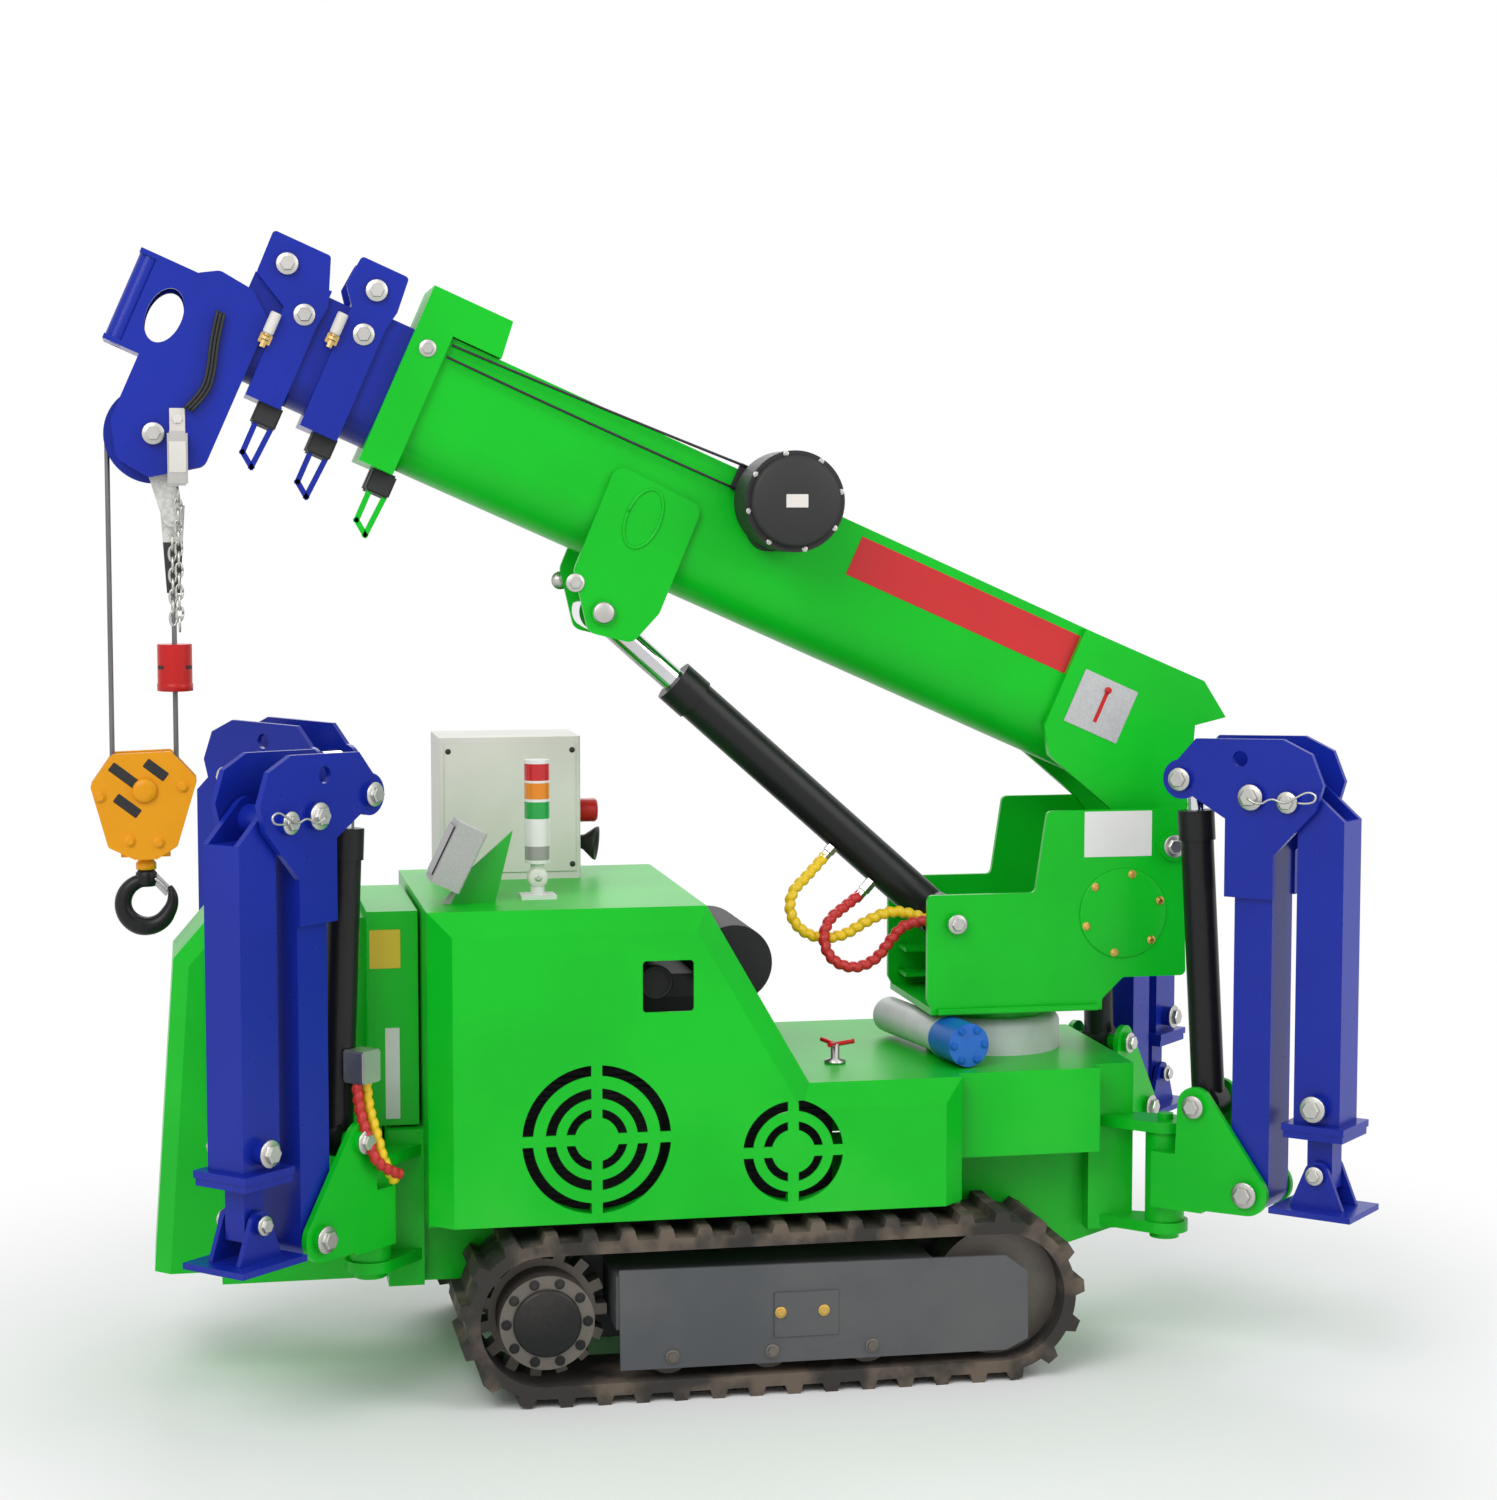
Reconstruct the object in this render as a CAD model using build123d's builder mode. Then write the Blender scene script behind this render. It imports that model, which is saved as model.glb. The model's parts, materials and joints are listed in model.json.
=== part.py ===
"""Mini crawler crane with four folding outriggers, a slewing turret and a four-part telescopic boom.

Millimetres, +Z up. The origin lies on the ground, midway between the tracks. +X points to the turret end,
-X is the way the boom points at rest, and -Y is the machine's right-hand side.
"""
import os
from math import atan2, cos, degrees, hypot, pi, radians, sin

from build123d import *

RUNNING_GAP = 0.3

# Tracks
TRACK_CENTRE_X = 14
TRACK_WHEELBASE = 910
TRACK_HEIGHT = 340
TRACK_INNER_Y = 200
BELT_WIDTH = 200
BELT_THICKNESS = 24
SHOE_HEIGHT = 18
SHOE_COUNT = 37
SHOE_FOOT = 36
SHOE_TIP = 24
TRACK_PLATE = 12
TRACK_COVER = 8
ROLLER_RADIUS = 45.7
ROLLER_WIDTH = 110
ROLLER_PITCH = 200
IDLER_WIDTH = 90
AXLE_RADIUS = 20
SPROCKET_TEETH = 15
SPROCKET_WIDTH = 50
SPROCKET_TOOTH = 22
DRIVE_HUB_RADIUS = 92
DRIVE_HUB_PROUD = 5

# Chassis
DECK_BOTTOM = 348
DECK_THICKNESS = 8
DECK_HALF_WIDTH = 330
KEEL_BOTTOM = 210
KEEL_REAR_X = -660
KEEL_HALF_WIDTH = 194
CROSS_BEAM_X = (-200, 200)
CROSS_BEAM_LENGTH = 110
CROSS_BEAM_LOW = 150
CROSS_BEAM_HIGH = 280
KEEL_FRONT_X = 400
TOWER_LENGTH = 300
TOWER_HALF_WIDTH = 300
TOWER_STEP = 432
TOWER_TOP = 604
TOWER_FOOT_HALF_WIDTH = 190
NOSE_LENGTH = 95
NOSE_HALF_WIDTH = 228
NOSE_BOTTOM = 255
NOSE_TOP = 598
TAIL_BEAM_LENGTH = 390
TAIL_BEAM_DEPTH = 26
TAIL_CROSS_LENGTH = 70
TAIL_CROSS_TOP = 520

# Outrigger swing pins, one at each corner
PIN_FRONT_X = 845
PIN_REAR_X = -770
PIN_Y = 285
PIN_RADIUS = 16
PIN_HEAD_RADIUS = 30
LUG_RADIUS = 48
LUG_THICKNESS = 22
LUG_LOW = 262
LUG_GAP = 185

# Hood, engine and tail tank
HOOD_REAR_X = -660
HOOD_TOP = 962
HOOD_TOP_FRONT_X = -117
HOOD_STEP_X = 88
HOOD_STEP_Z = 605
HOOD_INNER_Y = 340
HOOD_BEVEL = 45
HOOD_WALL = 5
HOOD_PANEL = 6
VENT_SPOKE = 21
WINDOW_SIZE = 100
WINDOW_CORNER = 8
WINDOW_X = -200
WINDOW_Z = 813
ENGINE_LENGTH = 370
ENGINE_WIDTH = 340
ENGINE_HEIGHT = 440
ENGINE_REAR_X = -430
AIR_CLEANER_RADIUS = 78
TAIL_END_X = -1180
TAIL_TOP = 930
TAIL_HALF_WIDTH = 150
TAIL_SHOULDER_X = -765
TAIL_SHOULDER_HALF_WIDTH = 204
TAIL_SHOULDER_TOP = 948

# Control cabinet, control box and signal tower on the hood
CABINET_LENGTH = 294
CABINET_DEPTH = 200
CABINET_HEIGHT = 297
CABINET_X = -443
CABINET_Y = 235
CONTROL_BOX = (112, 110, 128)
CONTROL_TILT = 26
CONTROL_X = -590
CONTROL_Y = -215
CONTROL_FIN = 10
SIGNAL_X = -425
SIGNAL_Y = -165
SIGNAL_RADIUS = 25
SIGNAL_HEIGHT = 275

# Slewing drive
SLEW_X = 560
SLEW_RADIUS = 140
SLEW_HEIGHT = 74
SLEW_NECK_RADIUS = 110
WORM_OFFSET = 165
WORM_ANGLE = 10
WORM_RADIUS = 38
WORM_LENGTH = 330
MOTOR_RADIUS = 44
MOTOR_Z = 651
MOTOR_LENGTH = 105

# Turret
TURRET_FLOOR = 700
TURRET_FLOOR_PLATE = 14
TURRET_REAR_X = 372
TURRET_FLOOR_FRONT_X = 745
TURRET_HALF_WIDTH = 170
TURRET_PLATE = 12
TURRET_LOW_TOP = 946
TURRET_HIGH_TOP = 1114
FOOT_PIN_RADIUS = 30
LIFT_PIN_RADIUS = 22
LIFT_HEAD_PIN_RADIUS = 24
PIN_HEAD_DEPTH = 12
LIFT_X = 432
LIFT_Z = 887
WINCH_X = 788
WINCH_Z = 899
WINCH_DRUM_RADIUS = 55
WINCH_FLANGE_RADIUS = 76

# Boom, in its own plane: u along the boom from the foot pin, v square to it and upwards
FOOT_X = 894
FOOT_Z = 1037
ELEVATION = 24
BOOM_WIDTH = 200
BOOM_LOW = 60
BOOM_HIGH = 340
BOOM_WALL = 8
SECTION_WALL = 6
SECTION_GAP = 6
SLIDE_GAP = 0.4
BOOM_START = 150
BOOM_END = 1800
NEST_STEP = 60
ROOT_PLATE = 18
FOOT_BOSS_RADIUS = 48
BRACKET_PLATE = 12
LIFT_EYE_U = 1274
LIFT_EYE_V = -34
COLLAR_RIM = 12
EAR_PLATE = 12
REEL_U = 1033
REEL_V = 315
REEL_RADIUS = 100
REEL_DEPTH = 150

# Boom head
SHEAVE_U = 2215
SHEAVE_V = -68
SHEAVE_RADIUS = 96
SHEAVE_HALF_WIDTH = 14
SHEAVE_AXLE = 20
HEAD_PLATE = 12
JIB_FLANGE = 10
JIB_HOLE_RADIUS = 12

# Lift cylinder
LIFT_BARREL_RADIUS = 42
LIFT_BARREL_SHARE = 0.7744
LIFT_ROD_RADIUS = 26
CYLINDER_BASE = 40
LIFT_ROD_INSIDE_SHARE = 0.512
LIFT_EYE_RADIUS = 40
LIFT_EYE_HALF_WIDTH = 55

# Hoist tackle
ROPE_RADIUS = 5
BLOCK_SHEAVE_RADIUS = 62
BLOCK_Z = 1178
DEAD_END_Z = 1715
SOCKET_LENGTH = 150
WEIGHT_RADIUS = 34
WEIGHT_HEIGHT = 90
WEIGHT_Z = 1419
HOOK_BEND_RADIUS = 48
HOOK_BAR_RADIUS = 16
HOOK_SHANK_RADIUS = 14
HOOK_Z = 950
BLOCK_BOTTOM = 1040

# Outrigger, in its own plane: s outwards from the swing pin, z up
OUTRIGGER_ANGLE = 45
ARM_S = 208
ARM_PIVOT_Z = 374
ARM_DEPTH = 80
ARM_HALF_WIDTH = 49
ARM_TOP = 1095
KNUCKLE_CLEAR = 5
KNUCKLE_PLATE = 12
KNUCKLE_BASE_S = 95
KNUCKLE_BASE_Z = 538
KNEE_PLATE = 12
KNEE_S = 55
KNEE_Z = 1194
LEG_PIVOT_S = 285
LEG_PIVOT_Z = 1160
LEG_S = 345
LEG_DEPTH = 96
LEG_WIDTH = 88
LEG_WALL = 6
LEG_TOP = 1125
LEG_BOTTOM = 512
LEG_FLANGE = 14
PIVOT_RADIUS = 18
RAM_PIN_RADIUS = 16
BOLT_HEAD_RADIUS = 22
BOLT_HEAD = 10
FOOT_TUBE_CLEAR = 6
FOOT_TUBE_TOP = 900
PAD_LENGTH = 170
PAD_WIDTH = 150
PAD_THICKNESS = 12
PAD_BOTTOM = 345
PAD_PIN_Z = 425
RAM_BARREL_RADIUS = 33
RAM_BARREL_LENGTH = 590
RAM_ROD_RADIUS = 18
RAM_ROD_INSIDE = 250
RAM_EYE_RADIUS = 30
RAM_EYE_HALF_WIDTH = 28

# Sizes worked out from the ones above
BELT_OUTER_RADIUS = TRACK_HEIGHT / 2 - SHOE_HEIGHT
BELT_INNER_RADIUS = BELT_OUTER_RADIUS - BELT_THICKNESS
WHEEL_Z = TRACK_HEIGHT / 2
SPROCKET_X = TRACK_CENTRE_X - TRACK_WHEELBASE / 2
IDLER_X = TRACK_CENTRE_X + TRACK_WHEELBASE / 2
TRACK_MIDDLE_Y = TRACK_INNER_Y + BELT_WIDTH / 2
TRACK_OUTER_Y = TRACK_INNER_Y + BELT_WIDTH
PLATE_INNER_Y = TRACK_INNER_Y + 5
COVER_INNER_Y = TRACK_OUTER_Y - TRACK_COVER
AXLE_START_Y = PLATE_INNER_Y + TRACK_PLATE
AXLE_LENGTH = COVER_INNER_Y - AXLE_START_Y
DECK_TOP = DECK_BOTTOM + DECK_THICKNESS
TOWER_FRONT_X = KEEL_FRONT_X + TOWER_LENGTH
NOSE_FRONT_X = TOWER_FRONT_X + NOSE_LENGTH
LUG_HIGH = LUG_LOW + LUG_THICKNESS + LUG_GAP
TURRET_BASE_TOP = TURRET_FLOOR + TURRET_FLOOR_PLATE
TURRET_INNER_Y = TURRET_HALF_WIDTH - TURRET_PLATE
HEAD_OF_PIN_Y = TURRET_HALF_WIDTH + PIN_HEAD_DEPTH
ROOT_OUTER_Y = BOOM_WIDTH / 2 + ROOT_PLATE
ELEVATION_RAD = radians(ELEVATION)
KNUCKLE_INNER_Y = ARM_HALF_WIDTH + KNUCKLE_CLEAR
KNUCKLE_OUTER_Y = KNUCKLE_INNER_Y + KNUCKLE_PLATE
KNEE_OUTER_Y = ARM_HALF_WIDTH + KNEE_PLATE

os.makedirs("parts", exist_ok=True)


def save(part, name):
    part.label = name
    export_step(part, f"parts/{name}.step")


def side_plane(y):
    """A plane that faces the right-hand side: local x is +X and local y is +Z."""
    return Plane(origin=(0, y, 0), x_dir=(1, 0, 0), z_dir=(0, -1, 0))


def boom_point(u, v, y=0):
    x = FOOT_X - u * cos(ELEVATION_RAD) + v * sin(ELEVATION_RAD)
    z = FOOT_Z + u * sin(ELEVATION_RAD) + v * cos(ELEVATION_RAD)
    return (x, y, z)


def boom_plane(y):
    """A plane along the boom: local x is u, local y is v and the normal is +Y."""
    along = (-cos(ELEVATION_RAD), 0, sin(ELEVATION_RAD))
    return Plane(origin=(FOOT_X, y, FOOT_Z), x_dir=along, z_dir=(0, 1, 0))


def boom_section(u):
    """A plane square to the boom at u: local x is -Y, local y is v."""
    along = (-cos(ELEVATION_RAD), 0, sin(ELEVATION_RAD))
    return Plane(origin=boom_point(u, 0), x_dir=(0, -1, 0), z_dir=along)


def plate(plane, points, thickness, corner=0, mode=Mode.ADD, both=False):
    """A flat plate with the outline of the points, its corners rounded by one radius."""
    with BuildSketch(plane) as outline:
        with BuildLine():
            Polyline(*points, close=True)
        make_face()
        if corner:
            fillet(outline.vertices(), corner)
    extrude(outline.sketch, amount=thickness, mode=mode, both=both)


def disc(plane, centre, radius, thickness, mode=Mode.ADD, both=False):
    """A round boss, pin or hole."""
    with BuildSketch(plane) as outline:
        with Locations(centre):
            Circle(radius)
    extrude(outline.sketch, amount=thickness, mode=mode, both=both)


def block(low, high, mode=Mode.ADD):
    """A box between two corners."""
    size = [b - a for a, b in zip(low, high)]
    with Locations(tuple((a + b) / 2 for a, b in zip(low, high))):
        Box(*size, mode=mode)


# Tracks
def shoe_places():
    """Where each shoe sits on the belt's outer face, and which way it points."""
    arc = pi * BELT_OUTER_RADIUS
    loop = 2 * TRACK_WHEELBASE + 2 * arc
    half = TRACK_WHEELBASE / 2
    places = []
    for index in range(SHOE_COUNT):
        way = loop * index / SHOE_COUNT
        if way < TRACK_WHEELBASE:
            places.append((half - way, BELT_OUTER_RADIUS, 0))
            continue
        way -= TRACK_WHEELBASE
        if way < arc:
            angle = way / BELT_OUTER_RADIUS
            reach = BELT_OUTER_RADIUS * sin(angle)
            places.append((-half - reach, BELT_OUTER_RADIUS * cos(angle), degrees(angle)))
            continue
        way -= arc
        if way < TRACK_WHEELBASE:
            places.append((way - half, -BELT_OUTER_RADIUS, 180))
            continue
        angle = (way - TRACK_WHEELBASE) / BELT_OUTER_RADIUS
        reach = BELT_OUTER_RADIUS * sin(angle)
        places.append((half + reach, -BELT_OUTER_RADIUS * cos(angle), 180 + degrees(angle)))
    return places


def track_plane(side, y):
    """Local x along +X and y along +Z at the wheels' height, with the normal pointing outwards."""
    x_dir = (1, 0, 0) if side < 0 else (-1, 0, 0)
    return Plane(origin=(TRACK_CENTRE_X, side * y, WHEEL_Z), x_dir=x_dir, z_dir=(0, side, 0))


SHOE_ROOT = 2
SIDES = {"right": -1, "left": 1}
COVER_OUTLINE = [  # x from the track's middle, z from the wheels' axis
    (-312, -104), (-314, 93), (461, 85), (506, 51), (508, -85), (463, -106),
]

for side_name, side in SIDES.items():
    with BuildPart() as belt:
        with BuildSketch(track_plane(side, TRACK_INNER_Y)):
            SlotCenterToCenter(TRACK_WHEELBASE, 2 * BELT_OUTER_RADIUS)
            for place_x, place_z, turn in shoe_places():
                with Locations(Location((place_x, place_z, 0), (0, 0, turn))):
                    Polygon(
                        (-SHOE_FOOT / 2, -SHOE_ROOT),
                        (SHOE_FOOT / 2, -SHOE_ROOT),
                        (SHOE_TIP / 2, SHOE_HEIGHT),
                        (-SHOE_TIP / 2, SHOE_HEIGHT),
                        align=None,
                    )
            SlotCenterToCenter(TRACK_WHEELBASE, 2 * BELT_INNER_RADIUS, mode=Mode.SUBTRACT)
        extrude(amount=BELT_WIDTH)
    save(belt.part, f"track_belt_{side_name}")

    flip = -side
    beam_rear = -TRACK_WHEELBASE / 2 + BELT_INNER_RADIUS + 8
    beam_front = TRACK_WHEELBASE / 2 - BELT_INNER_RADIUS - 8
    with BuildPart() as track_frame:
        with BuildSketch(track_plane(side, PLATE_INNER_Y)):
            SlotCenterToCenter(TRACK_WHEELBASE, 2 * 88)
        extrude(amount=TRACK_PLATE)
        plate(track_plane(side, COVER_INNER_Y), [(flip * x, z) for x, z in COVER_OUTLINE], TRACK_COVER)
        plate(
            track_plane(side, PLATE_INNER_Y),
            [
                (flip * beam_rear, -25),
                (flip * beam_front, -25),
                (flip * beam_front, 80),
                (flip * beam_rear, 80),
            ],
            COVER_INNER_Y - PLATE_INNER_Y,
        )
    save(track_frame.part, f"track_frame_{side_name}")

    with BuildPart() as wheels:
        for roller in (-1, 0, 1):
            centre = (flip * (roller * ROLLER_PITCH - 10), ROLLER_RADIUS + RUNNING_GAP - BELT_INNER_RADIUS)
            disc(track_plane(side, AXLE_START_Y), centre, AXLE_RADIUS, AXLE_LENGTH)
            disc(track_plane(side, TRACK_MIDDLE_Y - ROLLER_WIDTH / 2), centre, ROLLER_RADIUS, ROLLER_WIDTH)
        idler = (flip * TRACK_WHEELBASE / 2, 0)
        disc(track_plane(side, AXLE_START_Y), idler, AXLE_RADIUS, AXLE_LENGTH)
        idler_plane = track_plane(side, TRACK_MIDDLE_Y - IDLER_WIDTH / 2)
        disc(idler_plane, idler, BELT_INNER_RADIUS - RUNNING_GAP, IDLER_WIDTH)
        sprocket = (-flip * TRACK_WHEELBASE / 2, 0)
        tip_radius = BELT_INNER_RADIUS - RUNNING_GAP
        with BuildSketch(track_plane(side, TRACK_MIDDLE_Y - SPROCKET_WIDTH / 2)):
            with Locations(sprocket):
                Circle(tip_radius - SPROCKET_TOOTH)
                with PolarLocations(tip_radius - SPROCKET_TOOTH / 2 - 3, SPROCKET_TEETH):
                    Rectangle(SPROCKET_TOOTH + 6, SPROCKET_TOOTH)
                Circle(tip_radius, mode=Mode.INTERSECT)
        extrude(amount=SPROCKET_WIDTH)
        hub_length = TRACK_OUTER_Y + DRIVE_HUB_PROUD - AXLE_START_Y
        disc(track_plane(side, AXLE_START_Y), sprocket, DRIVE_HUB_RADIUS, hub_length)
    save(wheels.part, f"track_wheels_{side_name}")

# Chassis: keel between the tracks, deck, slewing tower, nose and tail with the outrigger lugs
CORNERS = {  # name: pin x, pin y, turn of the outrigger's plane, where the lug meets the chassis
    "front_right": (PIN_FRONT_X, -PIN_Y, -OUTRIGGER_ANGLE, (NOSE_FRONT_X - 40, -NOSE_HALF_WIDTH + 15)),
    "front_left": (PIN_FRONT_X, PIN_Y, OUTRIGGER_ANGLE, (NOSE_FRONT_X - 40, NOSE_HALF_WIDTH - 15)),
    "rear_right": (PIN_REAR_X, -PIN_Y, 180 + OUTRIGGER_ANGLE, (KEEL_REAR_X - 35, -NOSE_HALF_WIDTH + 15)),
    "rear_left": (PIN_REAR_X, PIN_Y, 180 - OUTRIGGER_ANGLE, (KEEL_REAR_X - 35, NOSE_HALF_WIDTH - 15)),
}

with BuildPart() as chassis:
    block((KEEL_REAR_X, -KEEL_HALF_WIDTH, KEEL_BOTTOM), (KEEL_FRONT_X, KEEL_HALF_WIDTH, DECK_BOTTOM))
    for beam_x in CROSS_BEAM_X:
        block(
            (beam_x - CROSS_BEAM_LENGTH / 2, -PLATE_INNER_Y, CROSS_BEAM_LOW),
            (beam_x + CROSS_BEAM_LENGTH / 2, PLATE_INNER_Y, CROSS_BEAM_HIGH),
        )
    block((HOOD_REAR_X, -DECK_HALF_WIDTH, DECK_BOTTOM), (KEEL_FRONT_X, DECK_HALF_WIDTH, DECK_TOP))
    block((KEEL_FRONT_X, -TOWER_HALF_WIDTH, TOWER_STEP), (TOWER_FRONT_X, TOWER_HALF_WIDTH, TOWER_TOP))
    plate(
        side_plane(TOWER_FOOT_HALF_WIDTH),
        [
            (KEEL_FRONT_X, KEEL_BOTTOM),
            (TOWER_FRONT_X - 60, KEEL_BOTTOM),
            (NOSE_FRONT_X, NOSE_BOTTOM),
            (NOSE_FRONT_X, TOWER_STEP),
            (KEEL_FRONT_X, TOWER_STEP),
        ],
        2 * TOWER_FOOT_HALF_WIDTH,
    )
    block((TOWER_FRONT_X, -NOSE_HALF_WIDTH, NOSE_BOTTOM), (NOSE_FRONT_X, NOSE_HALF_WIDTH, NOSE_TOP))
    block(
        (KEEL_REAR_X - TAIL_BEAM_LENGTH, -TAIL_HALF_WIDTH, KEEL_BOTTOM),
        (KEEL_REAR_X, TAIL_HALF_WIDTH, KEEL_BOTTOM + TAIL_BEAM_DEPTH),
    )
    block(
        (KEEL_REAR_X - TAIL_CROSS_LENGTH, -NOSE_HALF_WIDTH, KEEL_BOTTOM),
        (KEEL_REAR_X, NOSE_HALF_WIDTH, TAIL_CROSS_TOP),
    )
    for pin_x, pin_y, turn, root in CORNERS.values():
        for lug_z in (LUG_LOW, LUG_HIGH):
            with BuildSketch(Plane.XY.offset(lug_z)):
                with Locations((pin_x, pin_y)):
                    Circle(LUG_RADIUS)
                with Locations(root):
                    Rectangle(60, 30)
                make_hull()
            extrude(amount=LUG_THICKNESS)
        with Locations((pin_x, pin_y, LUG_LOW - 14)):
            Cylinder(PIN_HEAD_RADIUS, 14, align=(Align.CENTER, Align.CENTER, Align.MIN))
        with Locations((pin_x, pin_y, LUG_LOW)):
            pin_length = LUG_HIGH - LUG_LOW + LUG_THICKNESS + 12
            Cylinder(PIN_RADIUS, pin_length, align=(Align.CENTER, Align.CENTER, Align.MIN))
save(chassis.part, "chassis_frame")

# Hood: two bevelled side panels, a top with its rear wall, and a low deck in front of the engine
HOOD_OUTLINE = [
    (HOOD_REAR_X, DECK_TOP),
    (KEEL_FRONT_X, DECK_TOP),
    (KEEL_FRONT_X, HOOD_STEP_Z),
    (HOOD_STEP_X, HOOD_STEP_Z),
    (HOOD_TOP_FRONT_X, HOOD_TOP),
    (HOOD_REAR_X, HOOD_TOP),
]
VENTS = [  # x, z, ring slots as (inner radius, outer radius)
    (-340, 519, ((43, 60), (80, 100), (124, 145))),
    (47, 479, ((43, 60), (80, 100))),
]

for side_name, side in SIDES.items():
    with BuildPart() as hood_side:
        panel_plane = Plane(origin=(0, side * HOOD_INNER_Y, 0), x_dir=(-side, 0, 0), z_dir=(0, side, 0))
        plate(panel_plane, [(-side * x, z) for x, z in HOOD_OUTLINE], HOOD_BEVEL)
        outer_face = hood_side.faces().sort_by(Axis.Y)[0 if side < 0 else -1]
        upper_edges = [edge for edge in outer_face.edges() if edge.center().Z > DECK_TOP + 1]
        chamfer(upper_edges, HOOD_BEVEL - 1)
        with BuildSketch(panel_plane):
            Polygon(*[(-side * x, z) for x, z in HOOD_OUTLINE], align=None)
            offset(amount=-2 * HOOD_WALL)
        extrude(amount=HOOD_BEVEL - HOOD_WALL, taper=45, mode=Mode.SUBTRACT)
        for vent_x, vent_z, rings in VENTS:
            with BuildSketch(panel_plane):
                with Locations((-side * vent_x, vent_z)):
                    for ring_inner, ring_outer in reversed(rings):
                        Circle(ring_outer)
                        Circle(ring_inner, mode=Mode.SUBTRACT)
                    Rectangle(2 * rings[-1][1], VENT_SPOKE, mode=Mode.SUBTRACT)
                    Rectangle(VENT_SPOKE, 2 * rings[-1][1], mode=Mode.SUBTRACT)
            extrude(amount=HOOD_BEVEL, mode=Mode.SUBTRACT)
        if side < 0:
            with BuildSketch(panel_plane):
                with Locations((WINDOW_X, WINDOW_Z)):
                    RectangleRounded(WINDOW_SIZE, WINDOW_SIZE, WINDOW_CORNER)
            extrude(amount=HOOD_BEVEL, mode=Mode.SUBTRACT)
    save(hood_side.part, f"hood_side_{side_name}")

with BuildPart() as hood_top:
    block((HOOD_REAR_X, -HOOD_INNER_Y, HOOD_TOP - HOOD_PANEL), (HOOD_TOP_FRONT_X, HOOD_INNER_Y, HOOD_TOP))
    block((HOOD_REAR_X, -HOOD_INNER_Y, DECK_TOP), (HOOD_REAR_X + HOOD_PANEL, HOOD_INNER_Y, HOOD_TOP))
    block((HOOD_STEP_X, -HOOD_INNER_Y, HOOD_STEP_Z - HOOD_PANEL), (KEEL_FRONT_X, HOOD_INNER_Y, HOOD_STEP_Z))
save(hood_top.part, "hood_top")

with BuildPart() as engine:
    engine_front_x = ENGINE_REAR_X + ENGINE_LENGTH
    block(
        (ENGINE_REAR_X, -ENGINE_WIDTH / 2, DECK_TOP),
        (engine_front_x, ENGINE_WIDTH / 2, DECK_TOP + ENGINE_HEIGHT),
    )
    chamfer(engine.edges().group_by(Axis.Z)[-1], 40)
    disc(
        side_plane(0),
        (engine_front_x + 35, DECK_TOP + ENGINE_HEIGHT + 20),
        AIR_CLEANER_RADIUS,
        ENGINE_WIDTH / 2 - 20,
        both=True,
    )
save(engine.part, "engine_block")

TAIL_FRONT_LOW_X = KEEL_REAR_X - TAIL_CROSS_LENGTH - 5
TAIL_FLOOR = KEEL_BOTTOM + TAIL_BEAM_DEPTH
with BuildPart() as tail_tank:
    plate(
        side_plane(TAIL_HALF_WIDTH),
        [
            (TAIL_FRONT_LOW_X, TAIL_FLOOR),
            (TAIL_END_X, TAIL_FLOOR),
            (TAIL_END_X + 45, TAIL_TOP - 75),
            (TAIL_END_X + 110, TAIL_TOP),
            (HOOD_REAR_X - 6, TAIL_TOP),
            (HOOD_REAR_X - 6, TAIL_CROSS_TOP + 5),
            (TAIL_FRONT_LOW_X, TAIL_CROSS_TOP + 5),
        ],
        2 * TAIL_HALF_WIDTH,
    )
    chamfer(tail_tank.faces().sort_by(Axis.X)[0:2].edges().filter_by(Axis.Y, reverse=True), 30)
    block(
        (TAIL_SHOULDER_X, -TAIL_SHOULDER_HALF_WIDTH, TAIL_CROSS_TOP + 5),
        (HOOD_REAR_X - 6, TAIL_SHOULDER_HALF_WIDTH, TAIL_SHOULDER_TOP),
    )
save(tail_tank.part, "tail_tank")

with BuildPart() as cabinet:
    block(
        (CABINET_X - CABINET_LENGTH / 2, CABINET_Y - CABINET_DEPTH / 2, HOOD_TOP),
        (CABINET_X + CABINET_LENGTH / 2, CABINET_Y + CABINET_DEPTH / 2, HOOD_TOP + CABINET_HEIGHT),
    )
    fillet(cabinet.edges().filter_by(Axis.Z), 6)
save(cabinet.part, "control_cabinet")

with BuildPart() as control_box:
    box_plane = Plane(
        origin=(CONTROL_X, CONTROL_Y, HOOD_TOP + 95),
        x_dir=(cos(radians(CONTROL_TILT)), 0, -sin(radians(CONTROL_TILT))),
        z_dir=(sin(radians(CONTROL_TILT)), 0, cos(radians(CONTROL_TILT))),
    )
    with BuildSketch(box_plane.offset(-CONTROL_BOX[2] / 2)):
        RectangleRounded(CONTROL_BOX[0] * 0.55, CONTROL_BOX[1], 5)
    extrude(amount=CONTROL_BOX[2])
    plate(
        side_plane(CONTROL_Y + CONTROL_FIN / 2),
        [
            (CONTROL_X - 30, HOOD_TOP),
            (CONTROL_X + 75, HOOD_TOP),
            (CONTROL_X + 110, HOOD_TOP + 140),
            (CONTROL_X + 20, HOOD_TOP + 60),
        ],
        CONTROL_FIN,
    )
save(control_box.part, "control_box")

with BuildPart() as signal_tower:
    with Locations((SIGNAL_X, SIGNAL_Y, HOOD_TOP)):
        Box(70, 60, 8, align=(Align.CENTER, Align.CENTER, Align.MIN))
        Cylinder(14, 90, align=(Align.CENTER, Align.CENTER, Align.MIN))
    with Locations((SIGNAL_X, SIGNAL_Y, HOOD_TOP + 70)):
        Cylinder(SIGNAL_RADIUS, SIGNAL_HEIGHT - 70, align=(Align.CENTER, Align.CENTER, Align.MIN))
save(signal_tower.part, "signal_tower")

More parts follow.
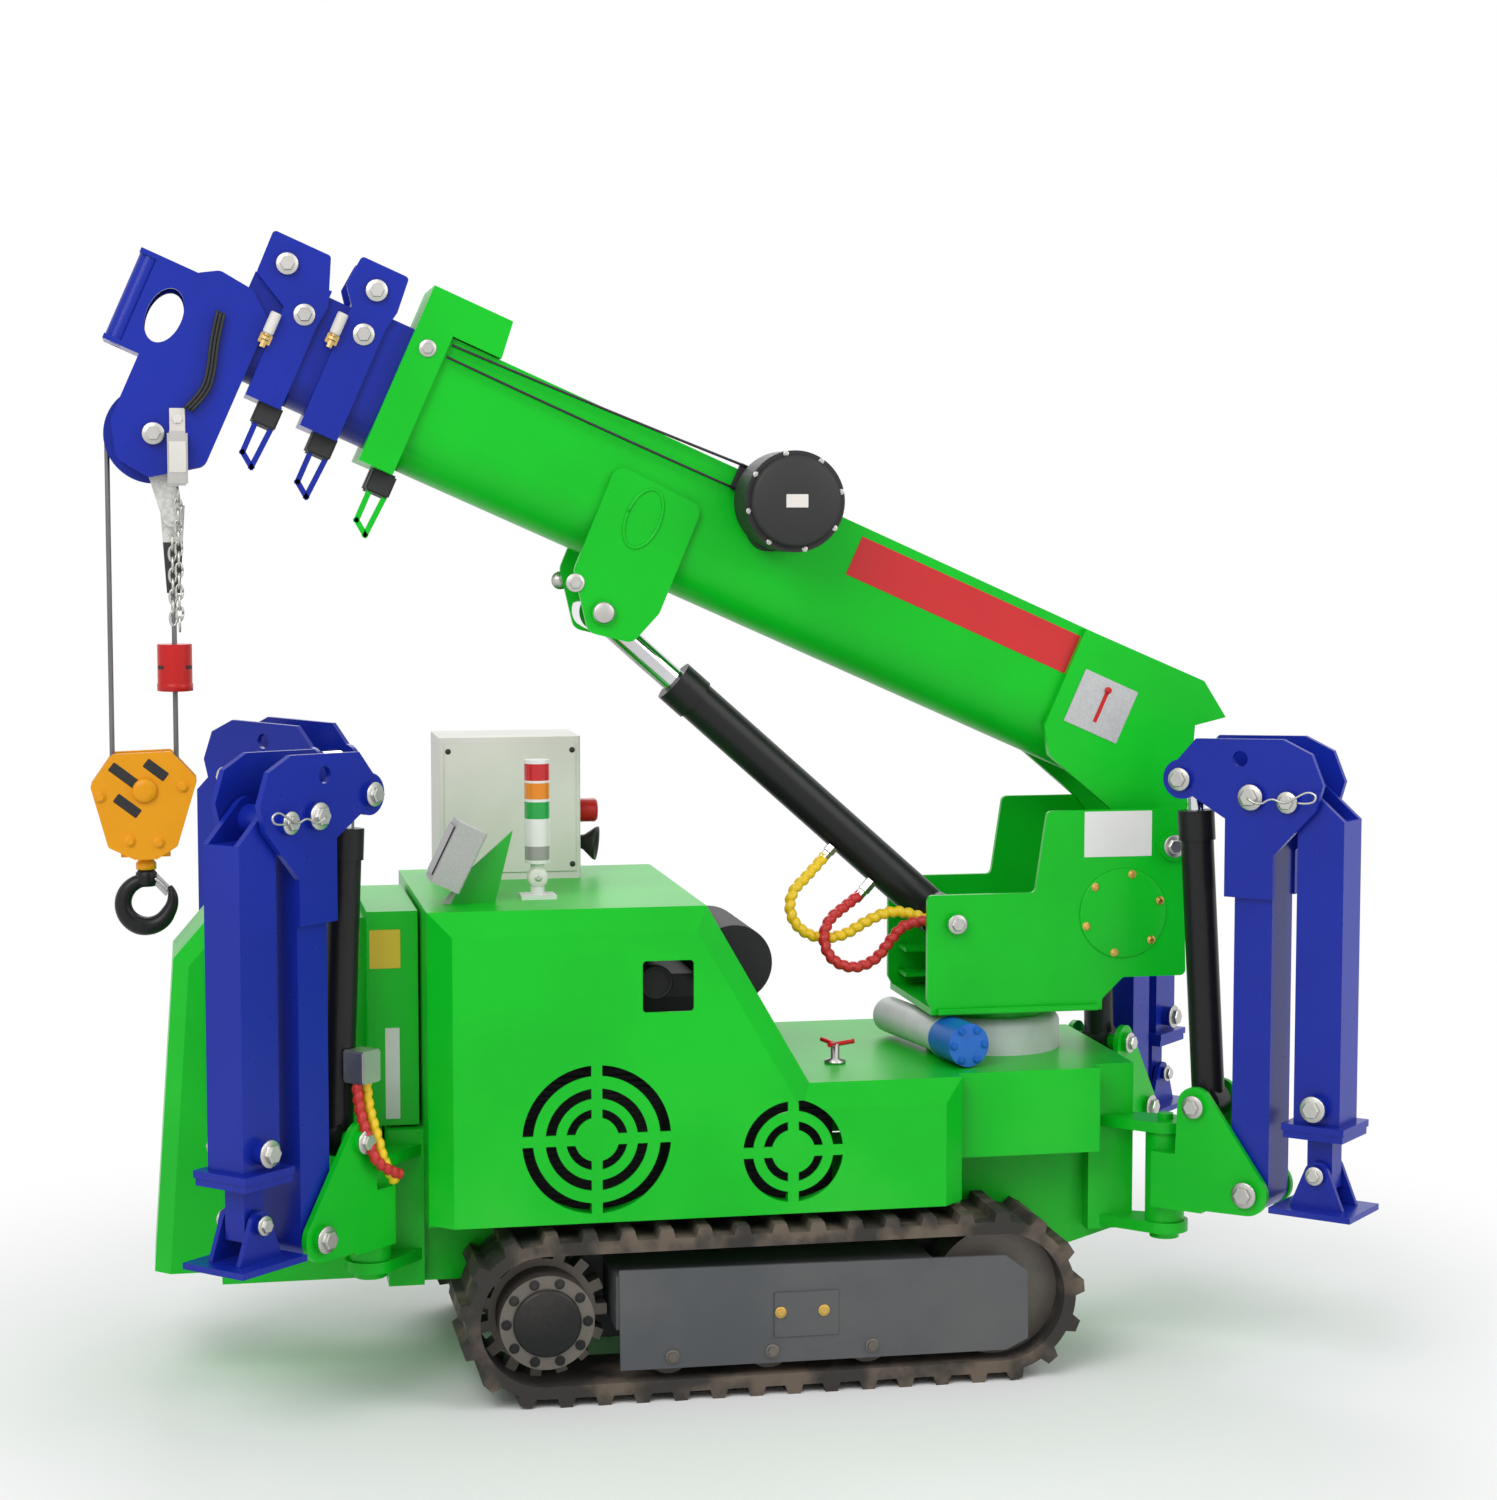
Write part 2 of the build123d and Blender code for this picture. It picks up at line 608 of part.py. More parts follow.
# Slewing drive: round housing on the tower, with the worm beside it and the motor on its end
with BuildPart() as slew_drive:
    with Locations((SLEW_X, 0, TOWER_TOP)):
        Cylinder(SLEW_RADIUS, SLEW_HEIGHT, align=(Align.CENTER, Align.CENTER, Align.MIN))
    fillet(slew_drive.edges().group_by(Axis.Z)[-1], 22)
    worm_turn = radians(WORM_ANGLE)
    worm_plane = Plane(
        origin=(SLEW_X - WORM_OFFSET * cos(worm_turn), -WORM_OFFSET * sin(worm_turn), MOTOR_Z),
        x_dir=(0, 0, 1),
        z_dir=(sin(worm_turn), -cos(worm_turn), 0),
    )
    disc(worm_plane.offset(-WORM_LENGTH / 2), (0, 0), WORM_RADIUS, WORM_LENGTH)
    disc(worm_plane.offset(WORM_LENGTH / 2 - 40), (0, 0), MOTOR_RADIUS, MOTOR_LENGTH)
save(slew_drive.part, "slew_drive")

# Turret: floor on the slewing neck, two cheek plates, webs and the pins of boom and lift cylinder
TURRET_OUTLINE = [
    (TURRET_REAR_X + 16, TURRET_FLOOR),
    (TURRET_FLOOR_FRONT_X, TURRET_FLOOR),
    (TURRET_FLOOR_FRONT_X, TURRET_FLOOR + 22),
    (790, 766),
    (926, 766),
    (916, TURRET_HIGH_TOP),
    (625, TURRET_HIGH_TOP),
    (600, TURRET_LOW_TOP),
    (TURRET_REAR_X, TURRET_LOW_TOP),
    (TURRET_REAR_X, TURRET_FLOOR + 30),
]
with BuildPart() as turret:
    with Locations((SLEW_X, 0, TOWER_TOP + SLEW_HEIGHT + RUNNING_GAP)):
        Cylinder(
            SLEW_NECK_RADIUS,
            TURRET_FLOOR - TOWER_TOP - SLEW_HEIGHT - RUNNING_GAP + 1,
            align=(Align.CENTER, Align.CENTER, Align.MIN),
        )
    block(
        (TURRET_REAR_X + 8, -TURRET_HALF_WIDTH, TURRET_FLOOR),
        (TURRET_FLOOR_FRONT_X, TURRET_HALF_WIDTH, TURRET_BASE_TOP),
    )
    for cheek_y in (TURRET_HALF_WIDTH, -TURRET_INNER_Y):
        plate(side_plane(cheek_y), TURRET_OUTLINE, TURRET_PLATE, corner=12)
    block((560, -TURRET_INNER_Y, TURRET_BASE_TOP), (572, TURRET_INNER_Y, 860))
    block((900, -TURRET_INNER_Y, 775), (912, TURRET_INNER_Y, 950))
    disc(side_plane(0), (FOOT_X, FOOT_Z), FOOT_PIN_RADIUS, HEAD_OF_PIN_Y, both=True)
    for pin_side in (-1, 1):
        stub_inner = LIFT_EYE_HALF_WIDTH + 12
        stub_start = pin_side * HEAD_OF_PIN_Y if pin_side > 0 else -stub_inner
        disc(side_plane(stub_start), (LIFT_X, LIFT_Z), LIFT_PIN_RADIUS, HEAD_OF_PIN_Y - stub_inner)
save(turret.part, "turret")

with BuildPart() as winch:
    disc(side_plane(0), (WINCH_X, WINCH_Z), WINCH_DRUM_RADIUS, TURRET_INNER_Y, both=True)
    for flange_y in (-120, 132):
        disc(side_plane(flange_y), (WINCH_X, WINCH_Z), WINCH_FLANGE_RADIUS, 12)
save(winch.part, "winch_drum")


# Boom: four nested tubes with a flat top and a round belly
def boom_profile(margin, mode=Mode.ADD):
    half = BOOM_WIDTH / 2 - margin
    low = BOOM_LOW + margin
    high = BOOM_HIGH - margin
    with BuildLine() as outline:
        Line((half, low + half), (half, high))
        Line((half, high), (-half, high))
        Line((-half, high), (-half, low + half))
        ThreePointArc((-half, low + half), (0, low), (half, low + half))
    make_face(outline.edges(), mode=mode)


def boom_tube(start, end, margin, wall):
    with BuildSketch(boom_section(start)) as outline:
        boom_profile(margin)
        boom_profile(margin + wall, mode=Mode.SUBTRACT)
    extrude(outline.sketch, amount=end - start)


def bore_through(start, end, margin):
    """Opens a collar for the section that slides in it."""
    with BuildSketch(boom_section(start)) as outline:
        boom_profile(margin)
    extrude(outline.sketch, amount=end - start, mode=Mode.SUBTRACT)


SECTION_MARGIN = [0]
SECTION_MARGIN.append(BOOM_WALL + SECTION_GAP)
SECTION_MARGIN.append(SECTION_MARGIN[1] + SECTION_WALL + SECTION_GAP)
SECTION_MARGIN.append(SECTION_MARGIN[2] + SECTION_WALL + SECTION_GAP)

ROOT_OUTLINE = [  # u, v
    (340, 338), (60, 342), (-15, 292), (40, 250), (-46, 12),
    (-30, -38), (20, -44), (140, 21), (305, 69), (340, 120),
]
BRACKET_SHAPE = [(94, 248), (-100, 240), (-105, 10), (-79, -66), (11, -82), (88, 20)]  # from the lift eye
BRACKET_OUTLINE = [(LIFT_EYE_U + along, v) for along, v in BRACKET_SHAPE]
COLLAR_OUTLINE = [(1836, 46), (1764, 46), (1764, 342), (1660, 342), (1668, 418), (1836, 418)]

with BuildPart() as boom_main:
    boom_tube(BOOM_START, BOOM_END, 0, BOOM_WALL)
    plate(boom_plane(0), COLLAR_OUTLINE, BOOM_WIDTH / 2 + 15, both=True)
    for plate_side in (-1, 1):
        root_y = BOOM_WIDTH / 2 if plate_side > 0 else -ROOT_OUTER_Y
        plate(boom_plane(root_y), ROOT_OUTLINE, ROOT_PLATE)
        bracket_y = BOOM_WIDTH / 2 if plate_side > 0 else -BOOM_WIDTH / 2 - BRACKET_PLATE
        plate(boom_plane(bracket_y), BRACKET_OUTLINE, BRACKET_PLATE, corner=24)
    lift_pin_half = BOOM_WIDTH / 2 + BRACKET_PLATE + PIN_HEAD_DEPTH
    disc(boom_plane(0), (LIFT_EYE_U, LIFT_EYE_V), LIFT_HEAD_PIN_RADIUS, lift_pin_half, both=True)
    disc(boom_plane(0), (0, 0), FOOT_BOSS_RADIUS, TURRET_INNER_Y - 5, both=True)
    foot_bore = FOOT_PIN_RADIUS + RUNNING_GAP
    disc(boom_plane(0), (0, 0), foot_bore, TURRET_INNER_Y, both=True, mode=Mode.SUBTRACT)
    bore_through(BOOM_START + 10, BOOM_END, BOOM_WALL)
    bore_through(1760, 1840, SECTION_MARGIN[1] - SLIDE_GAP)
save(boom_main.part, "boom_main")

with BuildPart() as reel:
    reel_face = -BOOM_WIDTH / 2
    disc(boom_plane(reel_face - 40), (REEL_U, REEL_V - 60), 45, 40)
    disc(boom_plane(reel_face - REEL_DEPTH), (REEL_U, REEL_V), REEL_RADIUS, REEL_DEPTH - 30)
save(reel.part, "cable_reel")

EAR_TABLE = [  # section, collar start, collar end, ear outline, roller pin
    (
        1, 1888, 1966,
        ((1888, 300), (1880, 340), (1886, 412), (1986, 412), (1992, 350), (1966, 315)),
        (1934, 362),
    ),
    (
        2, 2011, 2084,
        ((2011, 250), (2006, 296), (2040, 388), (2160, 388), (2158, 300), (2084, 260)),
        (2111, 338),
    ),
]
for section, collar_start, collar_end, ear_outline, ear_pin in EAR_TABLE:
    margin = SECTION_MARGIN[section]
    half = BOOM_WIDTH / 2 - margin + COLLAR_RIM
    low = BOOM_LOW + margin - COLLAR_RIM
    high = BOOM_HIGH - margin + COLLAR_RIM
    with BuildPart() as boom_part:
        boom_tube(BOOM_START + NEST_STEP * section, collar_end - 10, margin, SECTION_WALL)
        plate(
            boom_plane(0),
            [(collar_start, low), (collar_end, low), (collar_end, high), (collar_start, high)],
            half,
            both=True,
        )
        for ear_y in (half - EAR_PLATE, -half):
            plate(boom_plane(ear_y), ear_outline, EAR_PLATE, corner=8)
        disc(boom_plane(0), ear_pin, 14, half + 8, both=True)
        disc(boom_plane(0), ear_pin, 26, 20, both=True)
        bore_through(BOOM_START + NEST_STEP * section, collar_end - 10, margin + SECTION_WALL)
        bore_through(collar_start - 10, collar_end + 10, SECTION_MARGIN[section + 1] - SLIDE_GAP)
    save(boom_part.part, f"boom_section_{section + 1}")

HEAD_SHAPE = [  # u from the sheave, v
    (-115, -85), (-115, 224), (-65, 266), (7, 274), (47, 250),
    (85, 60), (85, -75), (47, -140), (-25, -150),
]
HEAD_OUTLINE = [(SHEAVE_U + along, v) for along, v in HEAD_SHAPE]
HEAD_TUBE_END = SHEAVE_U - 55
JIB_LOW = 62
JIB_HIGH = 252
JIB_ROOT_U = SHEAVE_U - 15
JIB_CHEEK_U = SHEAVE_U + 125
JIB_TIP_U = SHEAVE_U + 160
JIB_POST_U = SHEAVE_U + 135
JIB_WINDOW = (SHEAVE_U + 70, 150)
head_half = BOOM_WIDTH / 2 - SECTION_MARGIN[3]
with BuildPart() as inner_section:
    boom_tube(BOOM_START + NEST_STEP * 3, HEAD_TUBE_END, SECTION_MARGIN[3], SECTION_WALL)
save(inner_section.part, "boom_section_4")

with BuildPart() as boom_head:
    for plate_y in (head_half, -head_half - HEAD_PLATE):
        plate(boom_plane(plate_y), HEAD_OUTLINE, HEAD_PLATE, corner=20)
        cheek = [
            (JIB_ROOT_U, JIB_LOW),
            (JIB_CHEEK_U, JIB_LOW),
            (JIB_CHEEK_U, JIB_HIGH),
            (JIB_ROOT_U, JIB_HIGH),
        ]
        plate(boom_plane(plate_y), cheek, HEAD_PLATE)
        with BuildSketch(boom_plane(plate_y)):
            with Locations(JIB_WINDOW):
                Ellipse(34, 55)
        extrude(amount=HEAD_PLATE, mode=Mode.SUBTRACT)
    for flange_v in (JIB_LOW, JIB_HIGH - JIB_FLANGE):
        plate(
            boom_plane(0),
            [
                (JIB_ROOT_U, flange_v),
                (JIB_TIP_U, flange_v),
                (JIB_TIP_U, flange_v + JIB_FLANGE),
                (JIB_ROOT_U, flange_v + JIB_FLANGE),
            ],
            head_half + HEAD_PLATE,
            both=True,
        )
    jib_plane = Plane(
        origin=boom_point(JIB_POST_U, JIB_LOW),
        x_dir=(0, -1, 0),
        z_dir=(sin(ELEVATION_RAD), 0, cos(ELEVATION_RAD)),
    )
    for jib_y in (-46, 46):
        disc(jib_plane, (jib_y, 0), 24, JIB_HIGH - JIB_LOW)
        disc(jib_plane, (jib_y, 0), JIB_HOLE_RADIUS, JIB_HIGH - JIB_LOW, mode=Mode.SUBTRACT)
    sheave = (SHEAVE_U, SHEAVE_V)
    disc(boom_plane(0), sheave, SHEAVE_AXLE, head_half + HEAD_PLATE + 10, both=True)
    disc(boom_plane(0), sheave, SHEAVE_RADIUS, SHEAVE_HALF_WIDTH, both=True)
    with BuildSketch(boom_plane(0)):
        with Locations(sheave):
            Circle(SHEAVE_RADIUS + 1)
            Circle(SHEAVE_RADIUS - 12, mode=Mode.SUBTRACT)
    extrude(amount=ROPE_RADIUS + 1.5, both=True, mode=Mode.SUBTRACT)
save(boom_head.part, "boom_head")


# Hydraulic cylinders: a barrel with its foot eye, and a rod with its head eye
def ram(
    foot, head, barrel_radius, barrel_length, rod_radius,
    rod_inside, eye_radius, eye_half, foot_bore, head_bore, bore_base,
):
    span = hypot(head[0] - foot[0], head[1] - foot[1])
    axis = Plane(
        origin=(foot[0], 0, foot[1]),
        x_dir=(0, 1, 0),
        z_dir=((head[0] - foot[0]) / span, 0, (head[1] - foot[1]) / span),
    )
    with BuildPart() as barrel:
        disc(axis.offset(eye_radius * 0.7), (0, 0), barrel_radius, barrel_length - eye_radius * 0.7)
        disc(axis.offset(barrel_length - 60), (0, 0), barrel_radius + 4, 60)
        disc(side_plane(0), foot, eye_radius + 6, eye_half, both=True)
        disc(side_plane(0), foot, foot_bore, eye_half, both=True, mode=Mode.SUBTRACT)
        bore_length = barrel_length - eye_radius - bore_base
        bore_plane = axis.offset(eye_radius + bore_base)
        disc(bore_plane, (0, 0), rod_radius + RUNNING_GAP, bore_length, mode=Mode.SUBTRACT)
    with BuildPart() as rod:
        disc(axis.offset(barrel_length - rod_inside), (0, 0), rod_radius, span - barrel_length + rod_inside)
        disc(side_plane(0), head, eye_radius, eye_half, both=True)
        disc(side_plane(0), head, head_bore, eye_half, both=True, mode=Mode.SUBTRACT)
    return barrel.part, rod.part


lift_eye = boom_point(LIFT_EYE_U, LIFT_EYE_V)
lift_span = hypot(lift_eye[0] - LIFT_X, lift_eye[2] - LIFT_Z)
lift_barrel, lift_rod = ram(
    foot=(LIFT_X, LIFT_Z),
    head=(lift_eye[0], lift_eye[2]),
    barrel_radius=LIFT_BARREL_RADIUS,
    barrel_length=LIFT_BARREL_SHARE * lift_span,
    rod_radius=LIFT_ROD_RADIUS,
    rod_inside=LIFT_ROD_INSIDE_SHARE * lift_span,
    eye_radius=LIFT_EYE_RADIUS,
    eye_half=LIFT_EYE_HALF_WIDTH,
    foot_bore=LIFT_PIN_RADIUS + RUNNING_GAP,
    head_bore=LIFT_HEAD_PIN_RADIUS + RUNNING_GAP,
    bore_base=CYLINDER_BASE,
)
save(lift_barrel, "lift_barrel")
save(lift_rod, "lift_rod")

# Hoist tackle under the boom head: dead end link, rope falls, switch weight, hook block and hook
sheave_x, _, sheave_z = boom_point(SHEAVE_U, SHEAVE_V)
ROPE_TURN_RADIUS = SHEAVE_RADIUS - 12 + ROPE_RADIUS + 2 * RUNNING_GAP
LIVE_X = sheave_x - ROPE_TURN_RADIUS
BLOCK_X = LIVE_X + BLOCK_SHEAVE_RADIUS
DEAD_X = BLOCK_X + BLOCK_SHEAVE_RADIUS

with BuildPart() as dead_end:
    for link_y in (42, -34):
        with BuildSketch(side_plane(link_y)):
            with Locations((sheave_x, sheave_z)):
                Circle(34)
            with Locations((DEAD_X, DEAD_END_Z)):
                Circle(20)
            make_hull()
            with Locations((sheave_x, sheave_z)):
                Circle(SHEAVE_AXLE + RUNNING_GAP, mode=Mode.SUBTRACT)
        extrude(amount=8)
    disc(side_plane(0), (DEAD_X, DEAD_END_Z), 11, 46, both=True)
    socket_bottom = DEAD_END_Z - SOCKET_LENGTH
    plate(
        side_plane(20),
        [
            (DEAD_X - 24, DEAD_END_Z + 22),
            (DEAD_X + 24, DEAD_END_Z + 22),
            (DEAD_X + 13, socket_bottom),
            (DEAD_X - 13, socket_bottom),
        ],
        40,
    )
save(dead_end.part, "dead_end_link")

with BuildPart() as rope:
    with BuildSketch(Plane.XY.offset(BLOCK_Z)):
        with Locations((LIVE_X, 0)):
            Circle(ROPE_RADIUS)
    extrude(amount=sheave_z - BLOCK_Z)
    with BuildSketch(Plane.XY.offset(sheave_z)):
        with Locations((LIVE_X, 0)):
            Circle(ROPE_RADIUS)
    revolve(axis=Axis((sheave_x, 0, sheave_z), (0, 1, 0)), revolution_arc=120)
    with BuildSketch(Plane.XY.offset(BLOCK_Z)):
        with Locations((DEAD_X, 0)):
            Circle(ROPE_RADIUS)
    extrude(amount=DEAD_END_Z - SOCKET_LENGTH - BLOCK_Z)
save(rope.part, "hoist_rope")

with BuildPart() as weight:
    with Locations((DEAD_X, 0, WEIGHT_Z)):
        Cylinder(WEIGHT_RADIUS, WEIGHT_HEIGHT)
        Cylinder(ROPE_RADIUS + RUNNING_GAP, WEIGHT_HEIGHT, mode=Mode.SUBTRACT)
save(weight.part, "limit_weight")

BLOCK_OUTLINE = [
    (-105, 10), (-62, 72), (52, 76), (102, 20),
    (62, -112), (22, -137), (-22, -137), (-72, -112),
]
with BuildPart() as hook_block:
    for cheek_y in (38, -26):
        plate(side_plane(cheek_y), [(BLOCK_X + x, BLOCK_Z + z) for x, z in BLOCK_OUTLINE], 12, corner=10)
    disc(side_plane(0), (BLOCK_X, BLOCK_Z), 18, 46, both=True)
    disc(side_plane(0), (BLOCK_X, BLOCK_Z), BLOCK_SHEAVE_RADIUS - ROPE_RADIUS - RUNNING_GAP, 12, both=True)
    block((BLOCK_X - 48, -26, BLOCK_BOTTOM + 5), (BLOCK_X + 48, 26, BLOCK_BOTTOM + 45))
    shank_bore = HOOK_SHANK_RADIUS + RUNNING_GAP
    disc(Plane.XY.offset(BLOCK_BOTTOM), (BLOCK_X, 0), shank_bore, 60, mode=Mode.SUBTRACT)
save(hook_block.part, "hook_block")

with BuildPart() as hook:
    shank_start = HOOK_Z + HOOK_BEND_RADIUS - 8
    shank_length = BLOCK_BOTTOM + 56 - shank_start
    disc(Plane.XY.offset(shank_start), (BLOCK_X, 0), HOOK_SHANK_RADIUS, shank_length)
    disc(Plane.XY.offset(BLOCK_BOTTOM + 45 + RUNNING_GAP), (BLOCK_X, 0), 22, 14)
    disc(Plane.XY.offset(HOOK_Z + HOOK_BEND_RADIUS - 4), (BLOCK_X, 0), 24, 22)
    bend_top = (BLOCK_X, 0, HOOK_Z + HOOK_BEND_RADIUS)
    with BuildSketch(Plane(origin=bend_top, x_dir=(0, 1, 0), z_dir=(-1, 0, 0))):
        Circle(HOOK_BAR_RADIUS)
    revolve(axis=Axis((BLOCK_X, 0, HOOK_Z), (0, -1, 0)), revolution_arc=275)
save(hook.part, "load_hook")

# Outriggers: made once in their own plane, then set at the four corners
LEG_INNER_S = LEG_S - LEG_DEPTH / 2
LEG_OUTER_S = LEG_S + LEG_DEPTH / 2
LEG_HALF = LEG_WIDTH / 2

with BuildPart() as knuckle:
    with Locations((0, 0, LUG_LOW + LUG_THICKNESS + RUNNING_GAP)):
        Cylinder(40, LUG_GAP - 2 * RUNNING_GAP, align=(Align.CENTER, Align.CENTER, Align.MIN))
    block((0, -KNUCKLE_OUTER_Y, 322), (112, KNUCKLE_OUTER_Y, 436))
    for cheek_y in (KNUCKLE_OUTER_Y, -KNUCKLE_INNER_Y):
        with BuildSketch(side_plane(cheek_y)):
            with Locations((KNUCKLE_BASE_S, KNUCKLE_BASE_Z)):
                Circle(38)
            with Locations((ARM_S, ARM_PIVOT_Z)):
                Circle(44)
            with Locations((70, 345), (70, 420)):
                Circle(18)
            make_hull()
        extrude(amount=KNUCKLE_PLATE)
    knuckle_pins = (
        ((ARM_S, ARM_PIVOT_Z), PIVOT_RADIUS),
        ((KNUCKLE_BASE_S, KNUCKLE_BASE_Z), RAM_PIN_RADIUS),
    )
    for centre, radius in knuckle_pins:
        disc(side_plane(0), centre, radius, KNUCKLE_OUTER_Y + BOLT_HEAD, both=True)
        for head_y in (KNUCKLE_OUTER_Y + BOLT_HEAD, -KNUCKLE_OUTER_Y):
            disc(side_plane(head_y), centre, BOLT_HEAD_RADIUS, BOLT_HEAD)
    disc(Plane.XY, (0, 0), PIN_RADIUS + RUNNING_GAP, 2 * LUG_HIGH, mode=Mode.SUBTRACT)

KNEE_OUTLINE = [
    (30, 1168), (30, 1215), (85, 1276), (270, 1282), (330, 1255),
    (355, 1195), (340, 1145), (253, 1052), (253, 965),
    (150, 965), (150, 1120), (80, 1160),
]
with BuildPart() as arm:
    with BuildSketch(side_plane(0)):
        with Locations((ARM_S, ARM_PIVOT_Z)):
            Circle(ARM_DEPTH / 2)
        with Locations((ARM_S, (ARM_PIVOT_Z + ARM_TOP) / 2)):
            Rectangle(ARM_DEPTH, ARM_TOP - ARM_PIVOT_Z)
    extrude(amount=ARM_HALF_WIDTH, both=True)
    for knee_y in (KNEE_OUTER_Y, -ARM_HALF_WIDTH):
        plate(side_plane(knee_y), KNEE_OUTLINE, KNEE_PLATE)
        disc(side_plane(knee_y), (KNEE_S, KNEE_Z), 40, KNEE_PLATE)
        disc(side_plane(knee_y), (181, 1240), 16, KNEE_PLATE, mode=Mode.SUBTRACT)
    stub_inner = RAM_EYE_HALF_WIDTH + 8
    for stub_y in (KNEE_OUTER_Y, -stub_inner):
        disc(side_plane(stub_y), (KNEE_S, KNEE_Z), RAM_PIN_RADIUS, KNEE_OUTER_Y - stub_inner)
    for centre, radius in (((ARM_S, 1166), 20), ((LEG_PIVOT_S, LEG_PIVOT_Z), PIVOT_RADIUS)):
        disc(side_plane(0), centre, radius, KNEE_OUTER_Y, both=True)
    for centre in ((KNEE_S, KNEE_Z), (ARM_S, 1166), (LEG_PIVOT_S, LEG_PIVOT_Z)):
        for head_y in (KNEE_OUTER_Y + BOLT_HEAD, -KNEE_OUTER_Y):
            disc(side_plane(head_y), centre, BOLT_HEAD_RADIUS, BOLT_HEAD)
    pivot_bore = PIVOT_RADIUS + RUNNING_GAP
    disc(side_plane(0), (ARM_S, ARM_PIVOT_Z), pivot_bore, ARM_HALF_WIDTH, both=True, mode=Mode.SUBTRACT)

with BuildPart() as leg:
    block((LEG_INNER_S, -LEG_HALF, LEG_BOTTOM), (LEG_OUTER_S, LEG_HALF, LEG_TOP))
    block((LEG_S - 65, -65, LEG_BOTTOM), (LEG_S + 65, 65, LEG_BOTTOM + LEG_FLANGE))
    bore_s = LEG_DEPTH / 2 - LEG_WALL
    bore_n = LEG_HALF - LEG_WALL
    bore_top = LEG_TOP - LEG_WALL
    block((LEG_S - bore_s, -bore_n, LEG_BOTTOM), (LEG_S + bore_s, bore_n, bore_top), mode=Mode.SUBTRACT)
    for ear_y in (LEG_HALF, -LEG_HALF + EAR_PLATE):
        with BuildSketch(side_plane(ear_y)):
            with Locations((LEG_PIVOT_S, LEG_PIVOT_Z)):
                Circle(44)
            with Locations((LEG_S, LEG_TOP - 8)):
                Rectangle(LEG_DEPTH, 16)
            make_hull()
        extrude(amount=EAR_PLATE)
    disc(side_plane(0), (LEG_PIVOT_S, LEG_PIVOT_Z), 30, LEG_HALF, both=True)
    knee_bore = PIVOT_RADIUS + RUNNING_GAP
    disc(side_plane(0), (LEG_PIVOT_S, LEG_PIVOT_Z), knee_bore, LEG_HALF, both=True, mode=Mode.SUBTRACT)
    for boss_y in (LEG_HALF + 20, -LEG_HALF):
        disc(side_plane(boss_y), (LEG_S, 560), 22, 20)

with BuildPart() as foot:
    tube_s = LEG_DEPTH / 2 - LEG_WALL - FOOT_TUBE_CLEAR
    tube_n = LEG_HALF - LEG_WALL - FOOT_TUBE_CLEAR
    flange_top = LEG_BOTTOM - RUNNING_GAP
    block((LEG_S - tube_s, -tube_n, flange_top - LEG_FLANGE), (LEG_S + tube_s, tube_n, FOOT_TUBE_TOP))
    block((LEG_S - 62, -62, flange_top - LEG_FLANGE), (LEG_S + 62, 62, flange_top))
    block((LEG_S - 26, -24, PAD_PIN_Z - 30), (LEG_S + 26, 24, flange_top - LEG_FLANGE))
    block(
        (LEG_S - PAD_LENGTH / 2, -PAD_WIDTH / 2, PAD_BOTTOM),
        (LEG_S + PAD_LENGTH / 2, PAD_WIDTH / 2, PAD_BOTTOM + PAD_THICKNESS),
    )
    for ear_y in (40, -30):
        with BuildSketch(side_plane(ear_y)):
            with Locations((LEG_S, PAD_PIN_Z)):
                Circle(26)
            with Locations((LEG_S, PAD_BOTTOM + PAD_THICKNESS)):
                Rectangle(110, 4)
            make_hull()
        extrude(amount=10)
    disc(side_plane(0), (LEG_S, PAD_PIN_Z), 14, 50, both=True)

ram_barrel, ram_rod = ram(
    foot=(KNUCKLE_BASE_S, KNUCKLE_BASE_Z),
    head=(KNEE_S, KNEE_Z),
    barrel_radius=RAM_BARREL_RADIUS,
    barrel_length=RAM_BARREL_LENGTH,
    rod_radius=RAM_ROD_RADIUS,
    rod_inside=RAM_ROD_INSIDE,
    eye_radius=RAM_EYE_RADIUS,
    eye_half=RAM_EYE_HALF_WIDTH,
    foot_bore=RAM_PIN_RADIUS + RUNNING_GAP,
    head_bore=RAM_PIN_RADIUS + RUNNING_GAP,
    bore_base=CYLINDER_BASE,
)

OUTRIGGER_PIECES = {
    "knuckle": knuckle.part,
    "arm": arm.part,
    "leg": leg.part,
    "foot": foot.part,
    "ram_barrel": ram_barrel,
    "ram_rod": ram_rod,
}
for corner, (pin_x, pin_y, turn, _) in CORNERS.items():
    corner_place = Location((pin_x, pin_y, 0), (0, 0, turn))
    for piece_name, piece in OUTRIGGER_PIECES.items():
        save(piece.moved(corner_place), f"outrigger_{piece_name}_{corner}")
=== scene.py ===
# %% [markdown]
# This lesson dresses a mini crawler crane: a rubber-tracked base, four folding outriggers, a slewing turret and a
# telescopic boom. The CAD solids stay where they are; Blender adds finishes and small pieces such as bolts and hoses.

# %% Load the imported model
import json
from math import cos, pi, radians, sin

import bmesh
import bpy
from mathutils import Matrix, Vector


